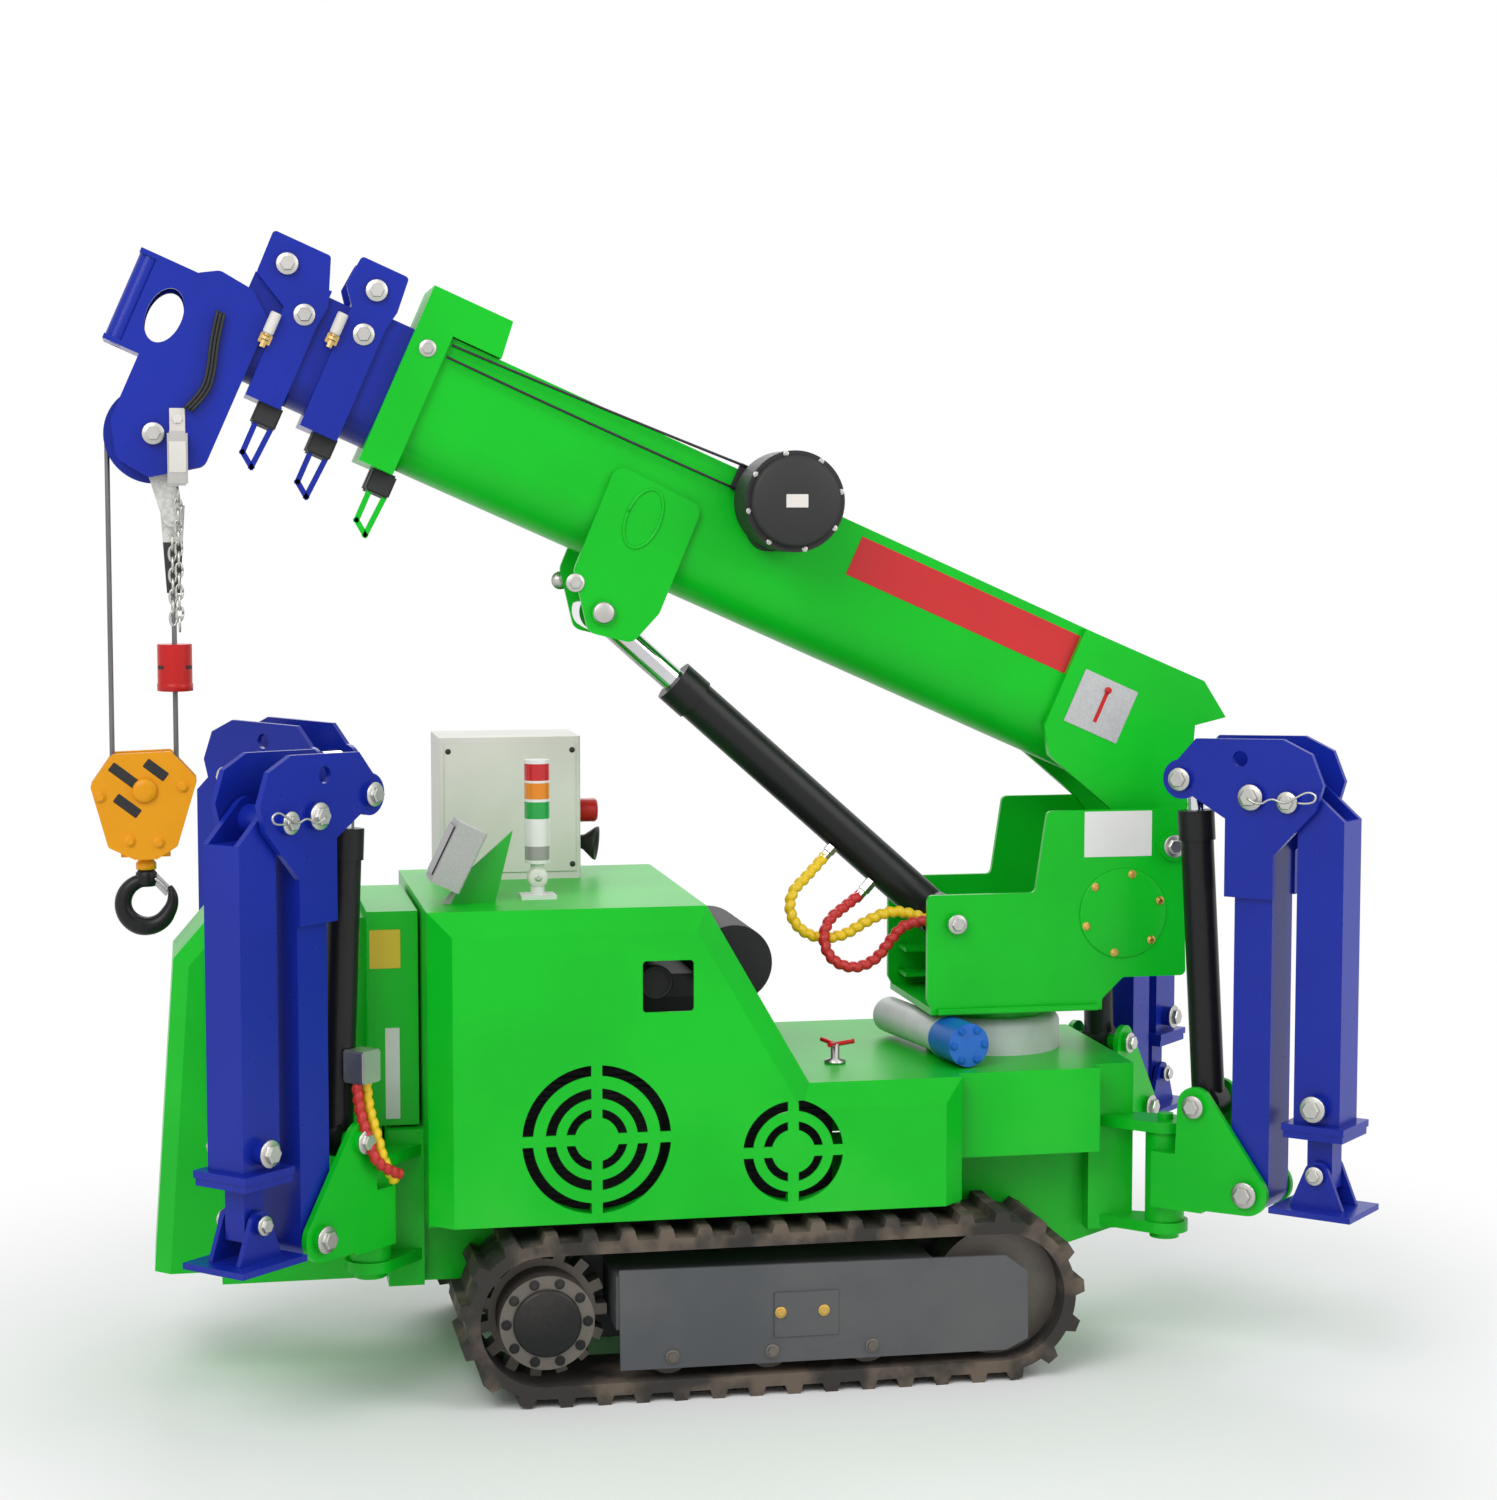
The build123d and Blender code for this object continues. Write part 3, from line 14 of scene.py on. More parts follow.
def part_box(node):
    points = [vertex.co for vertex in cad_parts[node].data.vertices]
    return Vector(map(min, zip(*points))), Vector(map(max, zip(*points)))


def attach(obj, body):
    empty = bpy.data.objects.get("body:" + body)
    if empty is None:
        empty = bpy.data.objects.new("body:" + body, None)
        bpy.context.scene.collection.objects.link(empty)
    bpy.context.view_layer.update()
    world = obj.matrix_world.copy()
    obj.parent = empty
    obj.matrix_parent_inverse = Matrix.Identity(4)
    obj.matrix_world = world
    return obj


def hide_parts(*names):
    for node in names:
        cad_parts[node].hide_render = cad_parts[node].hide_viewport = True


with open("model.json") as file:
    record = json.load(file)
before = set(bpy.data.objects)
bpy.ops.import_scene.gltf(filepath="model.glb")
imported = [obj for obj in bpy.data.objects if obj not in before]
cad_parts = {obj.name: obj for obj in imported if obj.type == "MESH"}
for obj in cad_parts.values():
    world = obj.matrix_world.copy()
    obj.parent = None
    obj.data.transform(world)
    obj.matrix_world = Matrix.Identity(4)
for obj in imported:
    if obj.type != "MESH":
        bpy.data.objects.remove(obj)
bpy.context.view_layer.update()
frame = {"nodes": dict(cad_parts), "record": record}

# %% [markdown]
# A finish is a small tree of shader nodes. One class wraps a socket, so that plus, minus and times add Math nodes and
# one method adds any other node. The finishes then read like formulas.


# %% A socket that can be added and multiplied
class Shade:
    """Wraps one output socket of a material's node tree."""

    def __init__(self, tree, socket):
        self.tree = tree
        self.socket = socket

    def math(self, operation, other, swapped=False):
        node = self.tree.nodes.new("ShaderNodeMath")
        node.operation = operation
        for target, value in zip(node.inputs, (other, self) if swapped else (self, other)):
            feed(target, value)
        return Shade(self.tree, node.outputs[0])

    def __add__(self, other):
        return self.math("ADD", other)

    def __sub__(self, other):
        return self.math("SUBTRACT", other)

    def __rsub__(self, other):
        return self.math("SUBTRACT", other, swapped=True)

    def __mul__(self, other):
        return self.math("MULTIPLY", other)

    __radd__ = __add__
    __rmul__ = __mul__

    def node(self, kind, settings=None, output=0, **sockets):
        """Adds any other node: its settings, then its sockets by name, or by number as in i0."""
        made = self.tree.nodes.new(kind)
        for name, value in (settings or {}).items():
            setattr(made, name, value)
        for name, value in sockets.items():
            numbered = name[0] == "i" and name[1:].isdigit()
            feed(made.inputs[int(name[1:]) if numbered else name.replace("_", " ")], value)
        return Shade(self.tree, made.outputs[output])


def feed(target, value):
    """Links an input socket to a Shade, or sets it to a plain value."""
    if isinstance(value, Shade):
        value.tree.links.new(value.socket, target)
    else:
        target.default_value = value


print("shader helper ready")

# %% [markdown]
# Paint on a working machine is never one flat colour: it drifts in tone and gathers dust low down. Noise in object
# space gives the drift, so that the pattern stays on the part from every side.


# %% Helpers that every finish uses
def new_finish(name):
    material = bpy.data.materials.new(name)
    material.use_nodes = True
    tree = material.node_tree
    tree.nodes.clear()
    shader = tree.nodes.new("ShaderNodeBsdfPrincipled")
    out = tree.nodes.new("ShaderNodeOutputMaterial")
    tree.links.new(shader.outputs[0], out.inputs[0])
    place = tree.nodes.new("ShaderNodeTexCoord")
    return material, shader, Shade(tree, place.outputs["Object"])


def plug(shader, **sockets):
    for name, value in sockets.items():
        feed(shader.inputs[name.replace("_", " ")], value)


def noise(place, scale, detail=3.0):
    return place.node("ShaderNodeTexNoise", output=0, Vector=place, Scale=scale, Detail=detail)


def coordinate(place, axis):
    """One of a place's three coordinates."""
    return place.node("ShaderNodeSeparateXYZ", output=axis, Vector=place)


def blend_colour(factor, first, second):
    def colour_of(value):
        return value if isinstance(value, Shade) else (*value, 1.0)
    return factor.node("ShaderNodeMix", {"data_type": "RGBA"}, output=2,
                       i0=factor, i6=colour_of(first), i7=colour_of(second))


def ramp(value, low, high):
    """Zero below low, one above high, smooth between."""
    return value.node("ShaderNodeMapRange", {"interpolation_type": "SMOOTHSTEP"},
                      i0=value, i1=low, i2=high, i3=0.0, i4=1.0)


def toned(colour, gain):
    """A colour made darker or lighter."""
    return tuple(min(1.0, part * gain) for part in colour)


def bump(place, height, strength, distance):
    return place.node("ShaderNodeBump", i0=strength, i1=distance, Height=height)


print("finish helpers ready")

# %% [markdown]
# Four functions make the crane's materials. Each lets noise vary the colour and the roughness a little, because an
# even surface looks like a drawing.


# %% Paint, steel, rubber and plastic
DUST_COLOUR = (0.33, 0.28, 0.21)
DUST_FROM, DUST_TO = 0.05, 0.75


def painted(name, colour, rough=0.35, dust=0.12, coat=0.05):
    material, shader, place = new_finish(name)
    drift = noise(place, 3.0, 4.0)
    fine = noise(place, 90.0, 2.0)
    tone = blend_colour(ramp(drift, 0.35, 0.65), toned(colour, 0.93), toned(colour, 1.05))
    near_ground = 1.0 - ramp(coordinate(place, 2), DUST_FROM, DUST_TO)
    low = near_ground * ramp(drift + fine * 0.12, 0.50, 0.80) * dust
    plug(shader, Base_Color=blend_colour(low, tone, DUST_COLOUR),
         Roughness=low * 0.4 + fine * 0.03 + (rough - 0.015), Coat_Weight=coat, Coat_Roughness=0.15,
         Specular_IOR_Level=0.22, Normal=bump(place, noise(place, 420.0, 1.0), 0.006, 0.001))
    return material


def metal(name, colour, rough=0.3, brushed=0.1):
    material, shader, place = new_finish(name)
    streak = noise(place, 160.0, 2.0)
    blotch = noise(place, 7.0, 3.0)
    plug(shader, Base_Color=blend_colour(ramp(blotch, 0.35, 0.7), toned(colour, 0.82), colour), Metallic=1.0,
         Roughness=streak * brushed + rough, Normal=bump(place, streak, 0.05, 0.001))
    return material


def rubber(name, colour, dust_colour):
    material, shader, place = new_finish(name)
    patch = noise(place, 9.0, 5.0)
    grain = noise(place, 260.0, 2.0)
    plug(shader, Base_Color=blend_colour(ramp(patch, 0.42, 0.62), colour, dust_colour),
         Roughness=grain * 0.2 + 0.72, Normal=bump(place, grain + patch, 0.35, 0.002))
    return material


def plastic(name, colour, rough=0.45):
    material, shader, place = new_finish(name)
    grain = noise(place, 300.0, 2.0)
    patch = noise(place, 5.0, 3.0)
    plug(shader, Base_Color=blend_colour(ramp(patch, 0.3, 0.7), toned(colour, 0.9), colour),
         Roughness=grain * 0.15 + rough, Normal=bump(place, grain, 0.08, 0.001))
    return material


print("four kinds of finish ready")

# %% [markdown]
# Each finish is made once. Colours are linear values, so they look darker as numbers than on the screen.

# %% The crane's finishes
GREEN = painted("green_paint", (0.002, 0.50, 0.016), rough=0.34)
BLUE = painted("blue_paint", (0.007, 0.022, 0.33), rough=0.28)
GREY = painted("grey_cover_paint", (0.085, 0.090, 0.098), rough=0.45, dust=0.10)
BLACK = painted("black_paint", (0.012, 0.012, 0.013), rough=0.35, dust=0.10)
CABINET = painted("cabinet_paint", (0.70, 0.67, 0.63), rough=0.4, dust=0.05)
DRIVE = painted("drive_paint", (0.42, 0.43, 0.44), rough=0.42, dust=0.2)
AMBER = painted("amber_paint", (0.83, 0.34, 0.006), rough=0.32, dust=0.05)
RED = painted("red_paint", (0.55, 0.015, 0.015), rough=0.3, dust=0.0)
MOTOR_BLUE = painted("motor_paint", (0.003, 0.12, 0.52), rough=0.35, dust=0.05)
ENGINE = painted("engine_black", (0.02, 0.02, 0.021), rough=0.6, dust=0.3, coat=0.0)
CHROME = metal("chrome_rod", (0.72, 0.72, 0.74), rough=0.06, brushed=0.05)
ZINC = metal("zinc_steel", (0.62, 0.61, 0.58), rough=0.28, brushed=0.16)
IRON = metal("cast_iron", (0.20, 0.18, 0.16), rough=0.5, brushed=0.2)
ROPE = metal("rope_steel", (0.20, 0.20, 0.20), rough=0.4, brushed=0.2)
BRASS = metal("brass_screws", (0.70, 0.45, 0.12), rough=0.3, brushed=0.1)
BELT = rubber("track_rubber", (0.028, 0.024, 0.021), (0.13, 0.10, 0.075))
BLACK_PLASTIC = plastic("black_plastic", (0.013, 0.013, 0.014), 0.5)
print("finishes made:", len(bpy.data.materials))

# %% [markdown]
# The signal tower is one CAD piece: coloured lenses with pale rings between them, over a metal stem. A table gives the
# share of its height at which each colour starts.

# %% Signal tower bands
LENS_PALE, STEM_METAL = (0.72, 0.72, 0.69), (0.30, 0.29, 0.27)
SIGNAL_BANDS = (
    (0.28, STEM_METAL), (0.38, LENS_PALE), (0.578, (0.004, 0.33, 0.05)), (0.700, LENS_PALE),
    (0.720, (0.72, 0.22, 0.006)), (0.836, LENS_PALE), (0.853, (0.52, 0.010, 0.012)), (0.974, LENS_PALE),
)
BAND_EDGE = 0.0005


def signal_bands():
    material, shader, place = new_finish("signal_lenses")
    height = coordinate(place, 2)
    low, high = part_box("signal_tower")
    colour = LENS_PALE
    for share, band in SIGNAL_BANDS:
        edge = low.z + share * (high.z - low.z)
        colour = blend_colour(ramp(height, edge - BAND_EDGE, edge + BAND_EDGE), colour, band)
    plug(shader, Base_Color=colour, Roughness=noise(place, 40.0) * 0.1 + 0.15)
    return material


SIGNAL = signal_bands()

# %% [markdown]
# Each CAD node keeps its shape and takes the finish of its material slot. Three nodes that need two colours get a
# finish of their own further on.

# %% Give every CAD node its finish
SLOT_FINISH = {
    "track_rubber": BELT, "grey_paint": GREY, "wheel_steel": IRON, "green_paint": GREEN, "blue_paint": BLUE,
    "black_paint": BLACK, "engine_black": ENGINE, "cabinet_paint": CABINET, "drive_paint": DRIVE,
    "signal_plastic": SIGNAL, "black_plastic": BLACK_PLASTIC, "chrome_rod": CHROME, "zinc_steel": ZINC,
    "rope_steel": ROPE, "red_paint": RED, "amber_paint": AMBER,
}


def refinish(node_name, finish):
    node_mesh = frame["nodes"][node_name].data
    node_mesh.materials.clear()
    node_mesh.materials.append(finish)


for entry in frame["record"]["subparts"]:
    refinish(entry["node"], SLOT_FINISH[entry["material_slot"]])

# %% [markdown]
# Small hardware is nearly all turned or hexagonal, so one helper spins a profile of radius and height round any axis.
# Many bolts go into one mesh for each body, which keeps the piece list short.


# %% Turned shapes and bolts
def axis_frame(place, axis):
    """A matrix that puts local Z along the axis at a place."""
    turn = Vector(axis).to_track_quat("Z", "Y").to_matrix().to_4x4()
    return Matrix.Translation(place) @ turn


def turns_of(count, start=0.0):
    """Even turns round a circle."""
    return [2 * pi * k / count + start for k in range(count)]


def skin(mesh, rings, sides, finish, smooth=True):
    """Faces between rings of vertices, where a ring may be a single point."""
    for low, high in zip(rings, rings[1:]):
        for k in range(sides):
            after = (k + 1) % sides
            corners = [low[k % len(low)], low[after % len(low)], high[after % len(high)], high[k % len(high)]]
            unique = list(dict.fromkeys(corners))
            if len(unique) > 2:
                face = mesh.faces.new(unique)
                face.material_index = finish
                face.smooth = smooth


def spin(mesh, place, axis, profile, sides=24, finish=0, smooth=True):
    """Adds a turned shape: the profile lists radius and height along the axis."""
    frame_of = axis_frame(place, axis)
    rings = []
    for radius, height in profile:
        if radius < 1e-6:
            rings.append([mesh.verts.new(frame_of @ Vector((0, 0, height)))])
            continue
        around = [Vector((radius * cos(turn), radius * sin(turn), height)) for turn in turns_of(sides)]
        rings.append([mesh.verts.new(frame_of @ corner) for corner in around])
    skin(mesh, rings, sides, finish, smooth)


WASHER = ((0, 0), (1.45, 0), (1.45, 0.18), (1.35, 0.24), (0, 0.24))
HEXAGON_HEAD = ((0, 0.2), (1, 0.2), (1, 0.75), (0.86, 0.86), (0, 0.86))


def bolt(mesh, place, axis, size=0.012, finish=0):
    """A round washer under a hexagon head with a chamfered top."""
    for profile, sides, smooth in ((WASHER, 20, True), (HEXAGON_HEAD, 6, False)):
        spin(mesh, place, axis, [(size * radius, size * height) for radius, height in profile], sides, finish, smooth)


def bolt_ring(count, radius, start=0.0):
    """Places round a circle that stands upright along the machine."""
    return [Vector((radius * cos(turn), 0, radius * sin(turn))) for turn in turns_of(count, start)]


print("turned shapes ready")

# %% [markdown]
# Plates start as a cube that is scaled, moved and bevelled. A hard edge catches no light, and real steel has none.


# %% Boxes with softened edges
def slab(mesh, low, high, bevel=0.002, finish=0, frame_of=None):
    """A box with softened edges between two corners, in a frame of its own if one is given."""
    made = bmesh.ops.create_cube(mesh, size=1.0)
    size = Vector(high) - Vector(low)
    centre = (Vector(high) + Vector(low)) / 2
    bmesh.ops.scale(mesh, vec=size, verts=made["verts"])
    bmesh.ops.translate(mesh, vec=centre, verts=made["verts"])
    edges = list(dict.fromkeys(edge for vert in made["verts"] for edge in vert.link_edges))
    before = set(mesh.verts) - set(made["verts"])
    bmesh.ops.bevel(mesh, geom=edges, offset=bevel, segments=2, affect="EDGES")
    fresh = [vert for vert in mesh.verts if vert not in before]
    for vert in fresh:
        for face in vert.link_faces:
            face.material_index = finish
    if frame_of is not None:
        bmesh.ops.transform(mesh, matrix=frame_of, verts=fresh)


def side_slab(mesh, x_range, y_pair, z_range, bevel=0.002, finish=0):
    """A softened box whose two y values come in either order."""
    low_y, high_y = sorted(y_pair)
    slab(mesh, (x_range[0], low_y, z_range[0]), (x_range[1], high_y, z_range[1]), bevel, finish)


print("boxes ready")

# %% [markdown]
# Hoses, wires and chain links are a skin round a line. A NURBS curve smooths the line, and rings of vertices are set
# round it without twisting.


# %% Tubes along a line
def smooth_route(points, steps):
    """Places along the smooth line that has these control points."""
    curve = bpy.data.curves.new("route", "CURVE")
    curve.dimensions = "3D"
    curve.resolution_u = steps
    spline = curve.splines.new("NURBS")
    spline.points.add(len(points) - 1)
    for control, place in zip(spline.points, points):
        control.co = (*place, 1.0)
    spline.order_u = min(3, len(points))
    spline.use_endpoint_u = True
    holder = bpy.data.objects.new("route", curve)
    line = bpy.data.meshes.new_from_object(holder)
    path = [vert.co.copy() for vert in line.vertices]
    bpy.data.objects.remove(holder)
    bpy.data.meshes.remove(line)
    bpy.data.curves.remove(curve)
    return path


def tube(mesh, line, reach, finish=0, sides=10):
    """A skin round a line: reach gives its radius from the way along the line and the turn round it."""
    side = None
    rings = []
    way = 0.0
    for index, place in enumerate(line):
        way += (place - line[max(index - 1, 0)]).length
        along = (line[min(index + 1, len(line) - 1)] - line[max(index - 1, 0)]).normalized()
        if side is None:
            side = along.orthogonal().normalized()
        side = (side - along * side.dot(along)).normalized()
        other = along.cross(side)
        spokes = [(turn, cos(turn) * side + sin(turn) * other) for turn in turns_of(sides)]
        rings.append([mesh.verts.new(place + reach(way, turn) * spoke) for turn, spoke in spokes])
    skin(mesh, rings, sides, finish)
    for ring in (rings[0][::-1], rings[-1]):
        mesh.faces.new(ring).material_index = finish


def hose(mesh, points, radius, finish=0, sides=10, steps=8):
    """A round tube along a smooth line."""
    tube(mesh, smooth_route(points, steps), lambda way, turn: radius, finish, sides)


print("tubes ready")

# %% [markdown]
# A collected mesh becomes a piece when it has a name, a body to ride on and its finishes. It then moves with that
# body in every pose.


# %% Turning a mesh into a piece
def piece(name, mesh, body, slot_name, *finishes):
    """Turns a collected mesh into an object that rides on a body."""
    bmesh.ops.recalc_face_normals(mesh, faces=mesh.faces)
    data = bpy.data.meshes.new(name)
    mesh.to_mesh(data)
    mesh.free()
    for finish in finishes:
        data.materials.append(finish)
    made = bpy.data.objects.new(name, data)
    bpy.context.scene.collection.objects.link(made)
    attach(made, body)
    print(name, "on", body, "with", len(data.polygons), "faces")
    return made


print("hardware helpers ready")

# %% [markdown]
# The boom leans at 24 degrees, so its hardware is placed along it: u from the foot pin towards the tip, v square to
# it. A second helper gives a whole frame that leans with the boom.


# %% Places along the boom
LEAN = radians(24)
FOOT = Vector((0.894, 0.0, 1.037))
UP_BOOM = Vector((-cos(LEAN), 0, sin(LEAN)))
OVER_BOOM = Vector((sin(LEAN), 0, cos(LEAN)))
SIDES = ((-1, "right"), (1, "left"))


def on_boom(u, v, y=0.0):
    return FOOT + UP_BOOM * u + OVER_BOOM * v + Vector((0, y, 0))


def boom_frame(u, v, y=0.0):
    return Matrix.Translation(on_boom(u, v, y)) @ Matrix.Rotation(LEAN, 4, "Y")


print("tip of the boom near", tuple(round(c, 3) for c in on_boom(2.37, 0.16)))

# %% [markdown]
# Large zinc bolts hold the boom's collars, seen as bright dots in the photograph. Each section carries its own, so
# that they slide out with it.

# %% Bolts on the boom and its collars
PIN_CAP = [(0, 0), (0.022, 0), (0.022, 0.002), (0.018, 0.004), (0, 0.004)]
COLLAR_BOLT = 0.015
COLLAR_BOLTS = {
    "boom_section_2": ((1.934, 0.362, 0.106), (1.923, 0.274, 0.098)),
    "boom_section_3": ((2.111, 0.338, 0.094), (2.042, 0.262, 0.086)),
    "boom_head": ((2.215, -0.068, 0.084),),
}
for side, side_name in SIDES:
    out = (0, side, 0)
    mesh = bmesh.new()
    bolt(mesh, on_boom(1.800, 0.300, side * 0.115), out, 0.012)
    bolt(mesh, on_boom(1.349, -0.002, side * 0.112), out, 0.013)
    spin(mesh, on_boom(1.274, -0.034, side * 0.124), out, PIN_CAP)
    piece(f"boom_bolts_{side_name}", mesh, "boom", "zinc_steel", ZINC)
    for body, places in COLLAR_BOLTS.items():
        mesh = bmesh.new()
        for u, v, y in places:
            bolt(mesh, on_boom(u, v, side * y), out, COLLAR_BOLT)
        piece(f"{body}_bolts_{side_name}", mesh, body, "zinc_steel", ZINC)

# %% [markdown]
# The winch drum sits behind a bolted round cover between the turret's cheeks. Its rope is a row of rings side by side.

# %% Winch cover and rope coils
WINCH_X, WINCH_Z = 0.788, 0.899
LIFT_PIN_X, LIFT_PIN_Z = 0.432, 0.887
TURRET_FACE, PIN_FACE = 0.170, 0.182
COVER_THICK = 0.0035
WINCH_COVER = [(0, 0), (0.093, 0), (0.093, 0.0025), (0.090, COVER_THICK), (0, COVER_THICK)]
COIL_COUNT, COIL_PITCH, FIRST_COIL_Y = 22, 0.010, -0.110
COIL = [(0.0555, -0.005), (0.0625, -0.0035), (0.065, 0), (0.0625, 0.0035), (0.0555, 0.005)]
for side, side_name in SIDES:
    out = (0, side, 0)
    mesh = bmesh.new()
    spin(mesh, Vector((WINCH_X, side * TURRET_FACE, WINCH_Z)), out, WINCH_COVER, 64, 1)
    cover_centre = Vector((WINCH_X, side * (TURRET_FACE + COVER_THICK), WINCH_Z))
    for spoke in bolt_ring(6, 0.083, 0.3):
        bolt(mesh, cover_centre + spoke, out, 0.006, 2)
    bolt(mesh, Vector((LIFT_PIN_X, side * PIN_FACE, LIFT_PIN_Z)), out, 0.014)
    bolt(mesh, FOOT + Vector((0, side * PIN_FACE, 0)), out, 0.016)
    piece(f"winch_cover_{side_name}", mesh, "turret", "zinc_steel", ZINC, GREEN, BRASS)
mesh = bmesh.new()
for k in range(COIL_COUNT):
    spin(mesh, Vector((WINCH_X, FIRST_COIL_Y + COIL_PITCH * k, WINCH_Z)), (0, 1, 0), COIL, 32)
piece("winch_rope_coils", mesh, "turret", "rope_steel", ROPE)

# %% [markdown]
# The track cover has a hatch with two brass screws and a bolt at each roller. The drive hub has a ring of bolts.

# %% Track cover and drive hub hardware
COVER_FACE, HUB_FACE = 0.400, 0.405
HATCH_THICK, HATCH_SCREW_Z = 0.003, 0.165
ROLLERS_X, ROLLER_BOLT_Z = (-0.196, 0.002, 0.203), 0.088
HUB_X, HUB_Z = -0.441, 0.170
HUB_CAP = [(0, 0), (0.066, 0), (0.066, 0.005), (0.060, 0.009), (0, 0.009)]
for side, side_name in SIDES:
    out = (0, side, 0)
    mesh = bmesh.new()
    hatch_y = side * (COVER_FACE + HATCH_THICK)
    side_slab(mesh, (0.005, 0.135), (side * COVER_FACE, hatch_y), (0.115, 0.205), 0.0012, 1)
    for x in (0.018, 0.105):
        bolt(mesh, Vector((x, hatch_y, HATCH_SCREW_Z)), out, 0.008, 2)
    for x in ROLLERS_X:
        bolt(mesh, Vector((x, side * COVER_FACE, ROLLER_BOLT_Z)), out, 0.010)
    hub = Vector((HUB_X, side * HUB_FACE, HUB_Z))
    spin(mesh, hub, out, HUB_CAP, 40, 3)
    for spoke in bolt_ring(10, 0.079):
        bolt(mesh, hub + spoke, out, 0.007, 3)
    piece(f"track_hardware_{side_name}", mesh, "chassis", "zinc_steel", IRON, GREY, BRASS, BLACK)

# %% [markdown]
# Every outrigger pin shows a bolt on both sides. An outrigger stands in an upright plane at 45 degrees: s runs outwards
# from the swing pin, n across the plane, and z up.

# %% Bolts on the outriggers
# Each corner: the swing pin's x and y, and the turn of the outrigger's plane in degrees.
CORNERS = {
    "front_right": (0.845, -0.285, -45), "front_left": (0.845, 0.285, 45),
    "rear_right": (-0.770, -0.285, 225), "rear_left": (-0.770, 0.285, 135),
}
# Each bolt: s, z, how far it stands from the plane, and its size.
OUTRIGGER_BOLTS = (
    ("knuckle", ((0.208, 0.374, 0.076, 0.018), (0.095, 0.538, 0.076, 0.016))),
    ("arm", ((0.055, 1.194, 0.071, 0.016), (0.208, 1.166, 0.071, 0.018), (0.285, 1.160, 0.071, 0.015))),
    ("leg", ((0.345, 0.560, 0.064, 0.018),)),
    ("foot", ((0.345, 0.425, 0.050, 0.013),)),
)


def on_outrigger(corner, s, n, z):
    pin_x, pin_y, turn = CORNERS[corner]
    along = Vector((cos(radians(turn)), sin(radians(turn)), 0))
    across = Vector((-along.y, along.x, 0))
    return Vector((pin_x, pin_y, z)) + along * s + across * n


for corner in CORNERS:
    across = on_outrigger(corner, 0, 1, 0) - on_outrigger(corner, 0, 0, 0)
    for part_name, table in OUTRIGGER_BOLTS:
        mesh = bmesh.new()
        for s, z, proud, size in table:
            for side in (-1, 1):
                bolt(mesh, on_outrigger(corner, s, side * proud, z), across * side, size)
        piece(f"{part_name}_bolts_{corner}", mesh, f"{part_name}_{corner}", "zinc_steel", ZINC)

# %% [markdown]
# A spring clip keeps the knee's pins from sliding out: one bent wire through both pin heads, on the outer side only.

# %% Spring clips on the knees
OUTER_SIDE = {"rear_right": 1, "front_left": 1, "rear_left": -1, "front_right": -1}
CLIP_PROUD, CLIP_WIRE = 0.0875, 0.0022
CLIP_ROUTE = (
    (0.208, 1.166), (0.232, 1.150), (0.258, 1.170), (0.285, 1.158), (0.310, 1.172), (0.335, 1.186),
    (0.354, 1.178), (0.344, 1.160), (0.312, 1.162),
)
for corner, side in OUTER_SIDE.items():
    mesh = bmesh.new()
    hose(mesh, [on_outrigger(corner, s, side * CLIP_PROUD, z) for s, z in CLIP_ROUTE], CLIP_WIRE, 0, 8)
    piece(f"knee_clip_{corner}", mesh, f"arm_{corner}", "zinc_steel", ZINC)

# %% [markdown]
# The slewing drive is grey and its motor blue, but both are one CAD node, so the finish changes colour at the motor's
# flange.


# %% Two-coloured slewing drive
FLANGE_Y, FLANGE_BLEND = -0.162, 0.001
MOTOR_END = Vector((0.4374, -0.2552, 0.651))
MOTOR_TURN = radians(10)
MOTOR_AXIS = Vector((sin(MOTOR_TURN), -cos(MOTOR_TURN), 0))
MOTOR_BOLTS, MOTOR_BOLT_RING = 6, 0.034


def drive_finish():
    material, shader, place = new_finish("drive_two_tone")
    speckle = noise(place, 18.0, 3.0)
    grey = blend_colour(ramp(speckle, 0.3, 0.7), (0.56, 0.57, 0.58), (0.62, 0.63, 0.64))
    blue = blend_colour(ramp(speckle, 0.3, 0.7), (0.003, 0.115, 0.50), (0.004, 0.140, 0.58))
    behind_flange = ramp(coordinate(place, 1), FLANGE_Y - FLANGE_BLEND, FLANGE_Y + FLANGE_BLEND)
    plug(shader, Base_Color=blend_colour(behind_flange, blue, grey), Roughness=speckle * 0.2 + 0.32,
         Normal=bump(place, noise(place, 240.0, 2.0), 0.04, 0.001))
    return material


refinish("slew_drive", drive_finish())
mesh = bmesh.new()
for turn in turns_of(MOTOR_BOLTS):
    spoke = Vector((MOTOR_BOLT_RING * cos(turn), MOTOR_BOLT_RING * sin(turn), 0))
    bolt(mesh, axis_frame(MOTOR_END, MOTOR_AXIS) @ spoke, MOTOR_AXIS, 0.006)
piece("motor_bolts", mesh, "chassis", "zinc_steel", MOTOR_BLUE)

# %% [markdown]
# Under each collar hangs a loop of square bar that guides the signal cable, with two plastic blocks beside it. The bar
# is a row of short boxes that overlap at the corners.


# %% Guide loops under the collars
LOOP_BAR, LOOP_HALF_DEPTH, LOOP_Y = 0.0055, 0.004, -0.055
# Each loop: its body, u, the bar's top and lowest v, and the bar's finish.
GUIDE_LOOPS = (
    ("boom", 1.790, 0.075, -0.062, GREEN), ("boom_section_2", 1.925, 0.085, -0.040, BLUE),
    ("boom_section_3", 2.045, 0.095, -0.030, BLUE),
)


